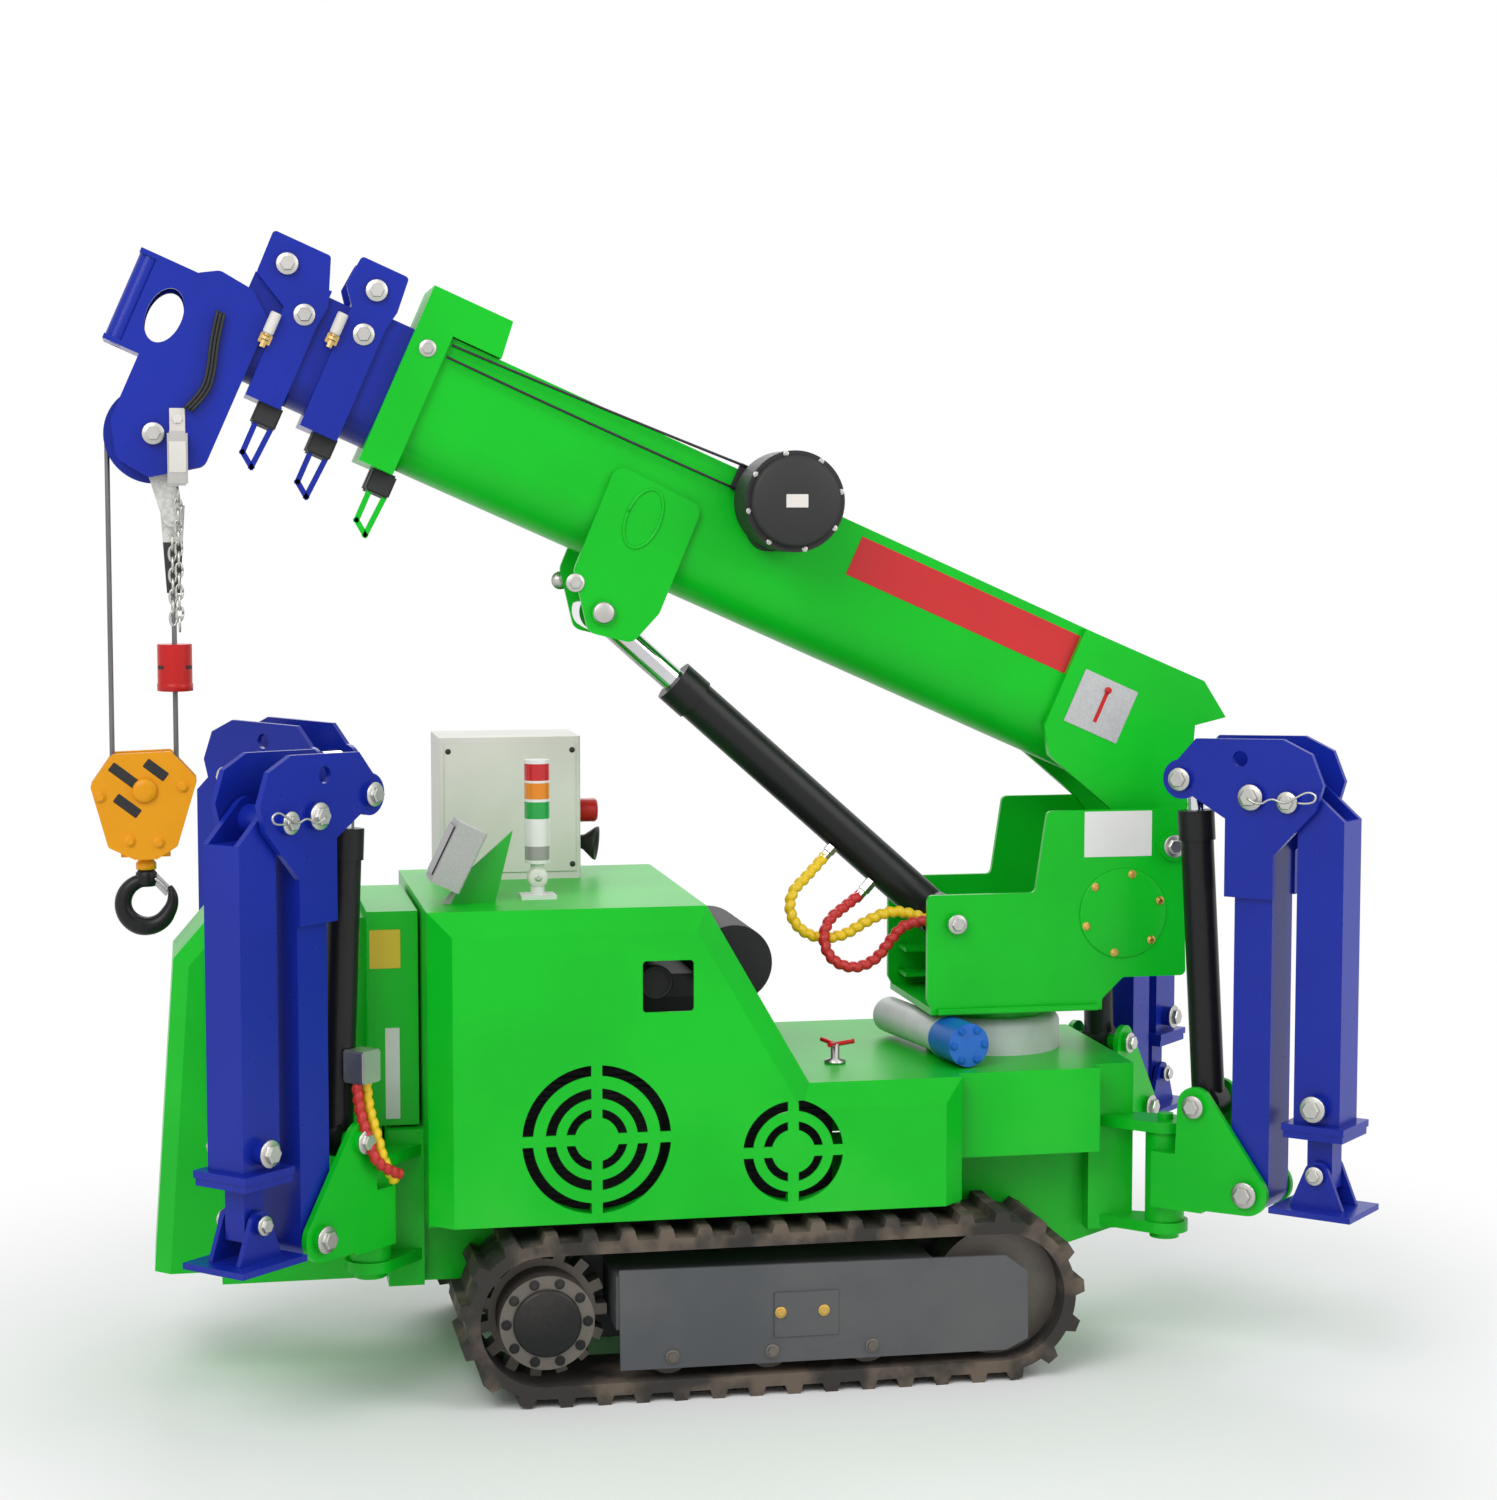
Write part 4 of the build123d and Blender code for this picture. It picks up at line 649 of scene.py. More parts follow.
def bar_loop(mesh, corners, y):
    """A flat bar bent round these corners, given along the boom, with closed corners."""
    for near, far in zip(corners, corners[1:]):
        start, end = on_boom(*near, y), on_boom(*far, y)
        along = (end - start).normalized()
        across = Vector((0, 1, 0))
        turn = Matrix((along.cross(across), across, along)).transposed().to_4x4()
        length = (end - start).length + LOOP_BAR
        slab(mesh, (-LOOP_BAR, -LOOP_HALF_DEPTH, -LOOP_BAR), (LOOP_BAR, LOOP_HALF_DEPTH, length), 0.0008, 0,
             Matrix.Translation(start) @ turn)


for body, u, v_top, v_low, finish in GUIDE_LOOPS:
    mesh = bmesh.new()
    bend = ((u, v_low), (u - 0.027, v_low - 0.020), (u - 0.033, v_low + 0.075), (u, v_low + 0.090))
    bar_loop(mesh, ((u, v_top), *bend), LOOP_Y)
    guide = boom_frame(u - 0.020, v_low + 0.088)
    for low_y in (-0.066, 0.012):
        slab(mesh, (-0.030, low_y, -0.026), (0.020, low_y + 0.054, 0.022), 0.004, 1, guide)
    piece(f"{body}_guide_loop", mesh, body, "zinc_steel", finish, BLACK_PLASTIC)

# %% [markdown]
# Signal wires leave the switch at the tip as a bunch clipped to the cheek. On the collars they pass guides, each a pale
# roller on a brass nipple.

# %% Wire guides and the bunch of wires
GUIDE_BRASS = metal("guide_brass", (0.72, 0.50, 0.20), rough=0.28, brushed=0.1)
GUIDE_PROUD = 0.012
NIPPLE = [
    (0, 0), (0.006, 0), (0.006, 0.014), (0.009, 0.016), (0.009, 0.022), (0.005, 0.024), (0.005, 0.030), (0, 0.030),
]
ROLLER = [(0, 0), (0.010, 0), (0.011, 0.004), (0.011, 0.040), (0.010, 0.044), (0, 0.044)]
WIRE_COUNT, WIRE_PITCH, WIRE_RADIUS = 3, 0.007, 0.0034
WIRE_ROUTE = (
    (2.196, 0.200, -0.0885), (2.188, 0.150, -0.0885), (2.166, 0.080, -0.0885), (2.164, 0.040, -0.0885),
    (2.180, 0.000, -0.0900),
)
for body, u, v, y in (("boom_section_2", 1.975, 0.222, -0.0985), ("boom_section_3", 2.092, 0.170, -0.0865)):
    mesh = bmesh.new()
    spin(mesh, on_boom(u, v, y - GUIDE_PROUD), OVER_BOOM, NIPPLE, 6, 1, False)
    spin(mesh, on_boom(u, v + 0.028, y - GUIDE_PROUD), OVER_BOOM, ROLLER, 20, 0)
    slab(mesh, (-0.012, -0.006, -0.010), (0.012, 0.004, 0.010), 0.001, 1, boom_frame(u, v + 0.018, y))
    piece(f"{body}_wire_guide", mesh, body, "zinc_steel", CABINET, GUIDE_BRASS)
mesh = bmesh.new()
for k in range(WIRE_COUNT):
    hose(mesh, [on_boom(u - WIRE_PITCH * k, v, y) for u, v, y in WIRE_ROUTE], WIRE_RADIUS, 0, 8)
piece("tip_wires", mesh, "boom_head", "black_plastic", BLACK_PLASTIC)

# %% [markdown]
# The switch at the tip stops the hook before it reaches the sheave: a zinc housing on a pale bracket.

# %% Limit switch
SWITCH_NUT = [(0, 0), (0.010, 0), (0.010, 0.006), (0, 0.006)]
mesh = bmesh.new()
slab(mesh, (-1.131, -0.112, 1.775), (-1.092, -0.078, 1.880), 0.004, 0)
slab(mesh, (-1.126, -0.080, 1.870), (-1.096, -0.0745, 1.925), 0.001, 1)
spin(mesh, Vector((-1.111, -0.0785, 1.905)), (0, -1, 0), SWITCH_NUT, 6, 1, False)
slab(mesh, (-1.128, -0.114, 1.800), (-1.095, -0.111, 1.860), 0.001, 1)
piece("limit_switch", mesh, "boom_head", "zinc_steel", ZINC, CABINET)

# %% [markdown]
# Hydraulic hoses wear a spiral wrap against chafing, yellow on one line and red on the other. The tube's own radius
# swells along it, so the outline is bumpy too.


# %% Spiral-wrapped hoses
WRAP_PITCH, WRAP_CORE, WRAP_SWELL = 0.020, 0.74, 0.34


def wrapped_hose(mesh, points, radius, finish=0):
    """A hose in a spiral wrap: a tube whose radius swells once for each turn of the wrap."""
    def reach(way, turn):
        return radius * (WRAP_CORE + WRAP_SWELL * abs(sin(pi * way / WRAP_PITCH - turn / 2)))
    centre = smooth_route(points, 24)
    tube(mesh, centre, reach, finish, 12)
    return centre


YELLOW_WRAP = plastic("yellow_wrap", (0.86, 0.58, 0.008), 0.35)
RED_WRAP = plastic("red_wrap", (0.55, 0.02, 0.02), 0.35)
print("hose wraps ready")

# %% [markdown]
# Two hoses loop from nuts under the lift cylinder's barrel into the turret. Each is a tube along the line that its wrap
# follows.

# %% Hoses at the lift cylinder's foot
HOSE_RADIUS = 0.0115
LIFT_HOSES = {
    "yellow_lift_hose": (YELLOW_WRAP, [
        (0.191, -0.020, 1.014), (0.148, -0.035, 0.972), (0.118, -0.046, 0.948), (0.108, -0.052, 0.912),
        (0.124, -0.055, 0.872), (0.166, -0.057, 0.848), (0.222, -0.060, 0.852), (0.264, -0.066, 0.880),
        (0.310, -0.076, 0.903), (0.352, -0.084, 0.902), (0.395, -0.090, 0.885),
    ]),
    "red_lift_hose": (RED_WRAP, [
        (0.265, -0.024, 0.932), (0.228, -0.045, 0.911), (0.190, -0.062, 0.888), (0.174, -0.075, 0.850),
        (0.190, -0.082, 0.806), (0.236, -0.086, 0.786), (0.284, -0.090, 0.804), (0.316, -0.095, 0.850),
        (0.346, -0.101, 0.884), (0.398, -0.108, 0.886),
    ]),
}
NUT_LENGTHS = {"yellow_lift_hose": 0.026, "red_lift_hose": 0.038}
UNDER_BARREL = Vector((-0.665, 0, -0.747))
mesh = bmesh.new()
for name, nut_length in NUT_LENGTHS.items():
    hose_start = Vector(LIFT_HOSES[name][1][0])
    nut = [
        (0, 0), (0.013, 0), (0.013, nut_length - 0.012), (0.011, nut_length - 0.010),
        (0.011, nut_length + 0.012), (0.008, nut_length + 0.016), (0, nut_length + 0.016),
    ]
    spin(mesh, hose_start - UNDER_BARREL * nut_length, UNDER_BARREL, nut, 6, 0, False)
piece("lift_hose_nuts", mesh, "lift_barrel", "zinc_steel", ZINC)
for name, (finish, route) in LIFT_HOSES.items():
    mesh = bmesh.new()
    centre = wrapped_hose(mesh, route, HOSE_RADIUS)
    length = sum((b - a).length for a, b in zip(centre, centre[1:]))
    made = piece(name, mesh, "lift_barrel", "black_plastic", finish)
    print(name, "is", round(length, 3), "m long")

# %% [markdown]
# The rear outriggers' cylinders carry a valve block with one hose of each colour. It is short clipped plumbing, so it
# rides on the barrel as one piece.

# %% Valve blocks and hoses at the rear outriggers
BLOCK_OUT, HOSE_TOP, CLIPPED_HOSE_RADIUS = 0.060, 0.650, 0.0105
for corner in ("rear_right", "rear_left"):
    mesh = bmesh.new()
    turn = Matrix.Rotation(radians(CORNERS[corner][2]), 4, "Z")
    base = Matrix.Translation(on_outrigger(corner, 0, 0, 0)) @ turn
    side = OUTER_SIDE[corner]
    slab(mesh, (0.060, -0.026, HOSE_TOP), (0.112, 0.026, 0.712), 0.003, 2,
         base @ Matrix.Translation((0.0, side * BLOCK_OUT, 0)))
    for k in (0, 1):
        start = Vector((0.074 + 0.026 * k, side * BLOCK_OUT, HOSE_TOP))
        points = [
            start, start + Vector((0, 0, -0.040)), start + Vector((-0.010, side * 0.018, -0.110)),
            Vector((0.060 + 0.02 * k, side * 0.090, 0.490)),
            Vector((0.020, side * (0.082 + 0.012 * k), 0.450 + 0.014 * k)),
        ]
        wrapped_hose(mesh, [base @ point for point in points], CLIPPED_HOSE_RADIUS, k)
    piece(f"outrigger_hoses_{corner}", mesh, f"ram_barrel_{corner}", "black_plastic", YELLOW_WRAP, RED_WRAP, ZINC)

# %% [markdown]
# The boom foot carries a plain silver angle gauge with a red pointer on a pin.


# %% Angle gauge
GAUGE_PIN = [(0, 0), (0.007, 0), (0.007, 0.004), (0, 0.005)]


def gauge_finish():
    material, shader, place = new_finish("gauge_plate")
    brushed = noise(place, 220.0, 2.0)
    plug(shader, Base_Color=blend_colour(ramp(brushed, 0.3, 0.7), (0.47, 0.48, 0.48), (0.53, 0.54, 0.54)),
         Metallic=0.8, Roughness=brushed * 0.2 + 0.35, Normal=bump(place, brushed, 0.03, 0.001))
    return material


GAUGE = gauge_finish()
mesh = bmesh.new()
gauge_place = boom_frame(0.245, 0.205, -0.118)
slab(mesh, (-0.062, -0.002, -0.058), (0.062, 0.0, 0.058), 0.0008, 0, gauge_place)
slab(mesh, (-0.004, -0.0035, -0.035), (0.004, -0.002, 0.036), 0.0006, 1, gauge_place)
spin(mesh, gauge_place @ Vector((0, -0.002, 0.036)), (0, -1, 0), GAUGE_PIN, 16, 1)
piece("angle_gauge", mesh, "boom", "zinc_steel", GAUGE, RED)

# %% [markdown]
# Two thin signal cables run from the spring reel along the boom's side to the first collar.

# %% Cable reel lid and signal cables
REEL = on_boom(1.033, 0.315, -0.250)
REEL_LID = [(0, 0), (0.086, 0), (0.090, 0.003), (0.090, 0.012), (0.082, 0.016), (0.030, 0.018), (0, 0.018)]
CABLE_RADIUS, CABLE_SAG, CABLE_LOW = 0.0028, Vector((0, 0, 0.004)), 0.300
mesh = bmesh.new()
spin(mesh, REEL, (0, -1, 0), REEL_LID, 48)
for spoke in bolt_ring(8, 0.095, 0.2):
    bolt(mesh, REEL + spoke, (0, -1, 0), 0.004, 1)
for v in (CABLE_LOW, 0.350):
    start = on_boom(1.120, v, -0.118)
    end = on_boom(1.760, CABLE_LOW + 0.5 * (v - CABLE_LOW), -0.1165)
    hose(mesh, [start, (start + end) / 2 - CABLE_SAG, end], CABLE_RADIUS, 0, 6)
slab(mesh, (-0.014, -0.016, -0.028), (0.014, 0.0, 0.028), 0.002, 0, boom_frame(1.125, 0.325, -0.100))
slab(mesh, (-0.022, -0.0195, -0.012), (0.022, -0.0175, 0.014), 0.0006, 2, Matrix.Translation(REEL))
piece("reel_lid_and_cables", mesh, "boom", "black_plastic", BLACK_PLASTIC, ZINC, CABINET)

# %% [markdown]
# A raised door with a screw at each corner, a red cap and a small horn break up the cabinet's plain faces.

# %% Cabinet door, cap and horn
DOOR_THICK = 0.003
DOOR_SCREW = [(0, 0), (0.006, 0), (0.005, 0.002), (0, 0.002)]
RED_CAP = [(0, 0), (0.024, 0), (0.025, 0.004), (0.025, 0.040), (0.021, 0.045), (0, 0.045)]
HORN = [
    (0, 0), (0.012, 0), (0.016, 0.018), (0.034, 0.040), (0.036, 0.046), (0.030, 0.044), (0.010, 0.024), (0, 0.022),
]
mesh = bmesh.new()
low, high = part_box("control_cabinet")
door_y = low.y - DOOR_THICK
slab(mesh, (low.x + 0.010, door_y, low.z + 0.015), (high.x - 0.010, low.y, high.z - 0.012), 0.001, 0)
for x in (low.x + 0.018, high.x - 0.018):
    for z in (low.z + 0.030, high.z - 0.028):
        spin(mesh, Vector((x, door_y, z)), (0, -1, 0), DOOR_SCREW, 16, 3)
spin(mesh, Vector((high.x, 0.215, 1.096)), (1, 0, 0), RED_CAP, 28, 2)
spin(mesh, Vector((high.x, 0.220, 1.030)), (1, -0.3, -0.1), HORN, 28, 3)
piece("cabinet_fittings", mesh, "chassis", "cabinet_paint", CABINET, ZINC, RED, BLACK_PLASTIC)

# %% [markdown]
# The control box leans back on a green bracket. Both are one CAD node, so the finish turns green behind the box's back
# plane, measured square to its leaning face.


# %% Control box and its screen
SCREEN = plastic("dark_screen", (0.02, 0.022, 0.025), 0.12)
BOX_X, BOX_Y, BOX_Z, BOX_LEAN = -0.590, -0.215, 1.057, radians(26)
mesh = bmesh.new()
tilt = Matrix.Translation((BOX_X, BOX_Y, BOX_Z)) @ Matrix.Rotation(BOX_LEAN, 4, "Y")
slab(mesh, (-0.034, -0.044, -0.052), (-0.031, 0.044, 0.052), 0.001, 0, tilt)
piece("control_screen", mesh, "chassis", "black_plastic", SCREEN)


def box_finish():
    """Pale grey for the box, green for the bracket behind its back plane."""
    material, shader, place = new_finish("control_box_two_tone")
    from_box_x, from_box_z = coordinate(place, 0) - BOX_X, coordinate(place, 2) - BOX_Z
    depth = from_box_x * cos(BOX_LEAN) - from_box_z * sin(BOX_LEAN)
    grain = noise(place, 240.0, 2.0)
    grey = blend_colour(ramp(grain, 0.3, 0.7), (0.36, 0.37, 0.35), (0.41, 0.42, 0.40))
    plug(shader, Base_Color=blend_colour(ramp(depth, 0.0305, 0.0315), grey, (0.002, 0.36, 0.014)),
         Roughness=grain * 0.15 + 0.35)
    return material


refinish("control_box", box_finish())

# %% [markdown]
# The signal tower folds on a round pivot, and a valve with a three-spoked red wheel stands on the deck.

# %% Signal pivot and valve wheel
PIVOT_DISC = [(0, 0), (0.020, 0), (0.020, 0.012), (0.017, 0.015), (0.006, 0.0155), (0, 0.0155)]
PIVOT_SHARE = 0.15
VALVE = Vector((0.184, -0.150, 0.605))
VALVE_STEM = [(0, 0), (0.022, 0), (0.022, 0.006), (0.009, 0.010), (0.009, 0.040), (0, 0.042)]
mesh = bmesh.new()
tower_low, tower_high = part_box("signal_tower")
pivot = (tower_low + tower_high) / 2
pivot.z = tower_low.z + PIVOT_SHARE * (tower_high.z - tower_low.z)
for side in (-1, 1):
    spin(mesh, pivot, (0, side, 0), PIVOT_DISC, 28, 0)
    bolt(mesh, pivot + Vector((0, side * 0.015, 0)), (0, side, 0), 0.005, 1)
piece("signal_pivot", mesh, "chassis", "cabinet_paint", CABINET, ZINC)
mesh = bmesh.new()
spin(mesh, VALVE, (0, 0, 1), VALVE_STEM, 20, 1)
wheel = VALVE + Vector((0, 0, 0.038))
for turn in (0.0, 2.1, 4.2):
    spoke = Vector((cos(turn), sin(turn), 0))
    hose(mesh, [wheel, wheel + spoke * 0.020 + Vector((0, 0, 0.004)), wheel + spoke * 0.040 + Vector((0, 0, 0.006))],
         0.005, 0, 8, 3)
piece("deck_valve_wheel", mesh, "chassis", "red_paint", RED, ZINC)

# %% [markdown]
# Short shelf plates and a ledge stiffen the turret's open rear end. Behind the hood's square window the end of the
# exhaust shows, a plain dark pipe.

# %% Turret shelves and exhaust
SHELF_REAR_X, SHELF_THICK = 0.392, 0.008
PIPE_X, PIPE_Z, PIPE_END_Y, PIPE_RADIUS = -0.215, 0.812, -0.330, 0.030
PIPE_RIM = [(0.030, -0.012), (0.034, -0.012), (0.034, 0.004), (0.026, 0.004), (0.026, -0.002), (0.0, -0.002)]
mesh = bmesh.new()
for shelf_z in (0.738, 0.792):
    for low_y, high_y in ((-0.156, -0.085), (0.085, 0.156)):
        slab(mesh, (SHELF_REAR_X, low_y, shelf_z), (0.500, high_y, shelf_z + SHELF_THICK), 0.001, 0)
for side in (-1, 1):
    side_slab(mesh, (SHELF_REAR_X, 0.735), (side * 0.169, side * 0.184), (0.701, 0.713))
piece("turret_shelves", mesh, "turret", "green_paint", GREEN)
mesh = bmesh.new()
engine_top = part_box("engine_block")[1].z
hose(mesh, [(PIPE_X, -0.070, engine_top - 0.010), (PIPE_X, -0.075, PIPE_Z), (PIPE_X, -0.150, PIPE_Z),
            (PIPE_X, PIPE_END_Y, PIPE_Z)], PIPE_RADIUS, 0, 24)
spin(mesh, Vector((PIPE_X, PIPE_END_Y, PIPE_Z)), (0, -1, 0), PIPE_RIM, 28)
piece("exhaust_pipe", mesh, "chassis", "engine_black", ENGINE)

# %% [markdown]
# The rope's end is held in a wedge socket, pale above and dark below; it is one CAD node, so the finish changes by
# height. The weight's chain hangs beside it: its first links turn with the boom head, the rest hang with the block.


# %% Wedge socket and chain
SOCKET_SPLIT_Z, SOCKET_BLEND = 1.665, 0.001
LINK_PITCH, LINK_WIRE, LINK_HALF_WIDTH, LINK_HALF_LENGTH, LINK_STEPS = 0.021, 0.0026, 0.0068, 0.0145, 14
CHAIN_X, CHAIN_TOP, TOP_LINKS = -1.112, 1.768, 4
CHAIN_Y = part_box("dead_end_link")[0].y - 0.012


def socket_finish():
    material, shader, place = new_finish("socket_two_tone")
    grain = noise(place, 120.0, 3.0)
    forged = blend_colour(ramp(grain, 0.3, 0.7), (0.50, 0.50, 0.47), (0.66, 0.66, 0.63))
    upper = ramp(coordinate(place, 2), SOCKET_SPLIT_Z - SOCKET_BLEND, SOCKET_SPLIT_Z + SOCKET_BLEND)
    plug(shader, Base_Color=blend_colour(upper, (0.020, 0.020, 0.022), forged), Metallic=upper * 0.7,
         Roughness=grain * 0.2 + 0.38, Normal=bump(place, grain, 0.15, 0.002))
    return material


def oval(centre, wide, tall, steps):
    """Places round an oval; the first one comes again at the end."""
    return [centre + wide * cos(turn) + tall * sin(turn) for turn in (*turns_of(steps), 2 * pi)]


def chain(mesh, top, count):
    """Oval links, each turned a quarter against the one above it."""
    for k in range(count):
        centre = Vector(top) - Vector((0, 0, LINK_PITCH * (k + 0.5)))
        wide = Vector((1, 0, 0)) if k % 2 else Vector((0, 1, 0))
        link = oval(centre, wide * LINK_HALF_WIDTH, Vector((0, 0, LINK_HALF_LENGTH)), LINK_STEPS)
        tube(mesh, link, lambda way, turn: LINK_WIRE, 0, 6)


refinish("dead_end_link", socket_finish())
mesh = bmesh.new()
chain(mesh, (CHAIN_X, CHAIN_Y, CHAIN_TOP), TOP_LINKS)
piece("switch_chain", mesh, "boom_head", "zinc_steel", ZINC)
mesh = bmesh.new()
hanging_top = CHAIN_TOP - TOP_LINKS * LINK_PITCH
chain(mesh, (CHAIN_X, CHAIN_Y, hanging_top), 9)
chain(mesh, (CHAIN_X - 0.012, CHAIN_Y + 0.004, hanging_top - 0.010), 8)
piece("weight_chain", mesh, "hook_block", "zinc_steel", ZINC)

# %% [markdown]
# The weight gets two slots and a turned lip, the hook block slots, a boss on its pin and a bolt at each corner. Every
# slot is a black sheet on the surface, painted shade in place of the dark inside of an opening.

# %% Weight and hook block details
mesh = bmesh.new()
weight_low, weight_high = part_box("limit_weight")
weight_centre = (weight_low + weight_high) / 2
weight_radius = (weight_high.x - weight_low.x) / 2
weight_lip = [
    (weight_radius - 0.004, -0.003), (weight_radius + 0.001, -0.002), (weight_radius + 0.0012, 0.012),
    (weight_radius - 0.002, 0.014),
]
spin(mesh, Vector((weight_centre.x, weight_centre.y, weight_low.z)), (0, 0, 1), weight_lip, 40, 0)
# Two black sheets on the weight's side: painted shade where its slots are.
for turn in (radians(215), radians(325)):
    out = Vector((cos(turn), sin(turn), 0))
    slot_shade_frame = axis_frame(weight_centre + out * (weight_radius - 0.004), out)
    slab(mesh, (-0.009, -0.005, 0.0), (0.009, 0.005, 0.0046), 0.0015, 1, slot_shade_frame)
piece("weight_trim", mesh, "hook_block", "red_paint", RED, BLACK_PLASTIC)

HOOK_RIGHT_OF_BOX = 0.064
BLOCK_X, BLOCK_Z, BLOCK_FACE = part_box("load_hook")[0].x + HOOK_RIGHT_OF_BOX, 1.178, 0.038
BLOCK_BOSS = [(0, 0), (0.024, 0), (0.024, 0.006), (0.021, 0.010), (0.010, 0.011), (0, 0.011)]
# Each slot is a black sheet on the cheek, painted shade in place of the slot's dark inside.
# Each slot: its centre's x and z from the sheave's pin, and its length.
BLOCK_SLOT_SHADES = ((-0.040, 0.030, 0.062), (0.022, 0.040, 0.050), (-0.034, -0.030, 0.056))
SLOT_LEAN = Matrix.Rotation(radians(38), 4, "Y")
mesh = bmesh.new()
for side in (-1, 1):
    face = Vector((BLOCK_X, side * BLOCK_FACE, BLOCK_Z))
    # Black sheets on each cheek: painted shade where the slots are.
    for x, z, length in BLOCK_SLOT_SHADES:
        slot_shade_frame = Matrix.Translation(face + Vector((x, 0, z))) @ SLOT_LEAN
        slab(mesh, (-length / 2, -0.0012, -0.010), (length / 2, 0.0012, 0.010), 0.0011, 1, slot_shade_frame)
    spin(mesh, face, (0, side, 0), BLOCK_BOSS, 28, 0)
    for x, z in ((-0.086, -0.012), (0.074, 0.006), (-0.030, -0.100), (0.026, -0.104)):
        bolt(mesh, face + Vector((x, 0, z)), (0, side, 0), 0.008, 0)
piece("hook_block_trim", mesh, "hook_block", "amber_paint", AMBER, BLACK_PLASTIC)

# %% [markdown]
# A forged hook is thickest at the bottom of its bowl. The CAD hook is a plain bent bar that MuJoCo keeps for contact;
# this tube of changing radius stands in for it.

# %% Forged hook with its latch
HOOK_CENTRE = Vector((BLOCK_X, 0, 0.950))
BOWL_RADIUS, BOWL_TURN, BOWL_STEPS = 0.046, radians(306), 48
TIP_STARTS, TIP_FLARE = 0.8, 0.010
BOWL_STOPS = ((0.0, 0.013), (0.20, 0.016), (0.52, 0.0195), (0.74, 0.016), (0.92, 0.010), (1.0, 0.0045))
HOOK_COLLAR = [(0.0, 0), (0.017, 0), (0.020, 0.010), (0.021, 0.026), (0.015, 0.034), (0, 0.034)]
HOOK_SHANK = [
    (0, 0), (0.020, 0), (0.020, 0.012), (0.0138, 0.020), (0.0138, 0.100), (0.0215, 0.101), (0.0215, 0.113), (0, 0.113),
]


def between(stops, where):
    """The value at a place between listed stops."""
    for (low, first), (high, second) in zip(stops, stops[1:]):
        if where <= high:
            return first + (second - first) * (where - low) / (high - low)
    return stops[-1][1]


mesh = bmesh.new()
bowl = []
for k in range(BOWL_STEPS + 1):
    share = k / BOWL_STEPS
    turn = BOWL_TURN * share
    out = BOWL_RADIUS + TIP_FLARE * max(0.0, share - TIP_STARTS) / (1.0 - TIP_STARTS)
    bowl.append(HOOK_CENTRE + Vector((-out * sin(turn), 0, out * cos(turn))))
bowl_length = sum((b - a).length for a, b in zip(bowl, bowl[1:]))
tube(mesh, bowl, lambda way, turn: between(BOWL_STOPS, way / bowl_length), 0, 18)
spin(mesh, HOOK_CENTRE + Vector((0, 0, BOWL_RADIUS - 0.012)), (0, 0, 1), HOOK_COLLAR, 28, 0)
spin(mesh, HOOK_CENTRE + Vector((0, 0, BOWL_RADIUS + 0.022)), (0, 0, 1), HOOK_SHANK, 28, 1)
latch_top = HOOK_CENTRE + Vector((0.016, 0, BOWL_RADIUS + 0.004))
latch_tip = HOOK_CENTRE + Vector((0.040, 0, 0.024))
latch_middle = (latch_top + latch_tip) / 2
for y in (-0.009, 0.009):
    hose(mesh, [latch_top + Vector((0, y, 0)), latch_middle + Vector((0.004, y, 0)),
                latch_tip + Vector((0, y * 0.6, 0))], 0.0030, 2, 8)
slab(mesh, (-0.002, -0.010, -0.024), (0.002, 0.010, 0.024), 0.001, 2, axis_frame(latch_middle, latch_tip - latch_top))
forged_hook = piece("forged_hook", mesh, "hook", "black_paint", BLACK, AMBER, ZINC)
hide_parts("load_hook")

# %% [markdown]
# The boom, the turret and the tail carry blank plates, each a thin sheet set on the steel that carries it.

# %% Blank plates
PLATE_WHITE = plastic("blank_white_plate", (0.78, 0.78, 0.76), 0.35)
PLATE_YELLOW = plastic("blank_yellow_plate", (0.80, 0.56, 0.02), 0.35)
PLATE_RED = plastic("blank_red_plate", (0.58, 0.012, 0.015), 0.30)
HALF_SHEET, SHEET_BEVEL, TAIL_FACE = 0.0012, 0.0006, 0.204


def sheet(mesh, x_range, y, z_range, finish=0):
    side_slab(mesh, x_range, (y - HALF_SHEET, y + HALF_SHEET), z_range, SHEET_BEVEL, finish)


for side, side_name in SIDES:
    mesh = bmesh.new()
    slab(mesh, (-0.258, -HALF_SHEET, -0.042), (0.258, HALF_SHEET, 0.042), SHEET_BEVEL, 0,
         boom_frame(0.590, 0.279, side * 0.100))
    piece(f"boom_banner_{side_name}", mesh, "boom", "red_paint", PLATE_RED)
    mesh = bmesh.new()
    sheet(mesh, (0.704, 0.849), side * TURRET_FACE, (1.017, 1.111))
    piece(f"turret_plate_{side_name}", mesh, "turret", "cabinet_paint", PLATE_WHITE)
    mesh = bmesh.new()
    sheet(mesh, (-0.760, -0.700), side * TAIL_FACE, (0.836, 0.912))
    sheet(mesh, (-0.731, -0.703), side * TAIL_FACE, (0.538, 0.718), 1)
    piece(f"tail_plates_{side_name}", mesh, "chassis", "cabinet_paint", PLATE_YELLOW, PLATE_WHITE)

# %% [markdown]
# A raised oval is welded to the lift cylinder's bracket, and dark coolers stand behind the hood's round vents, where
# their fins catch the eye through the slots.

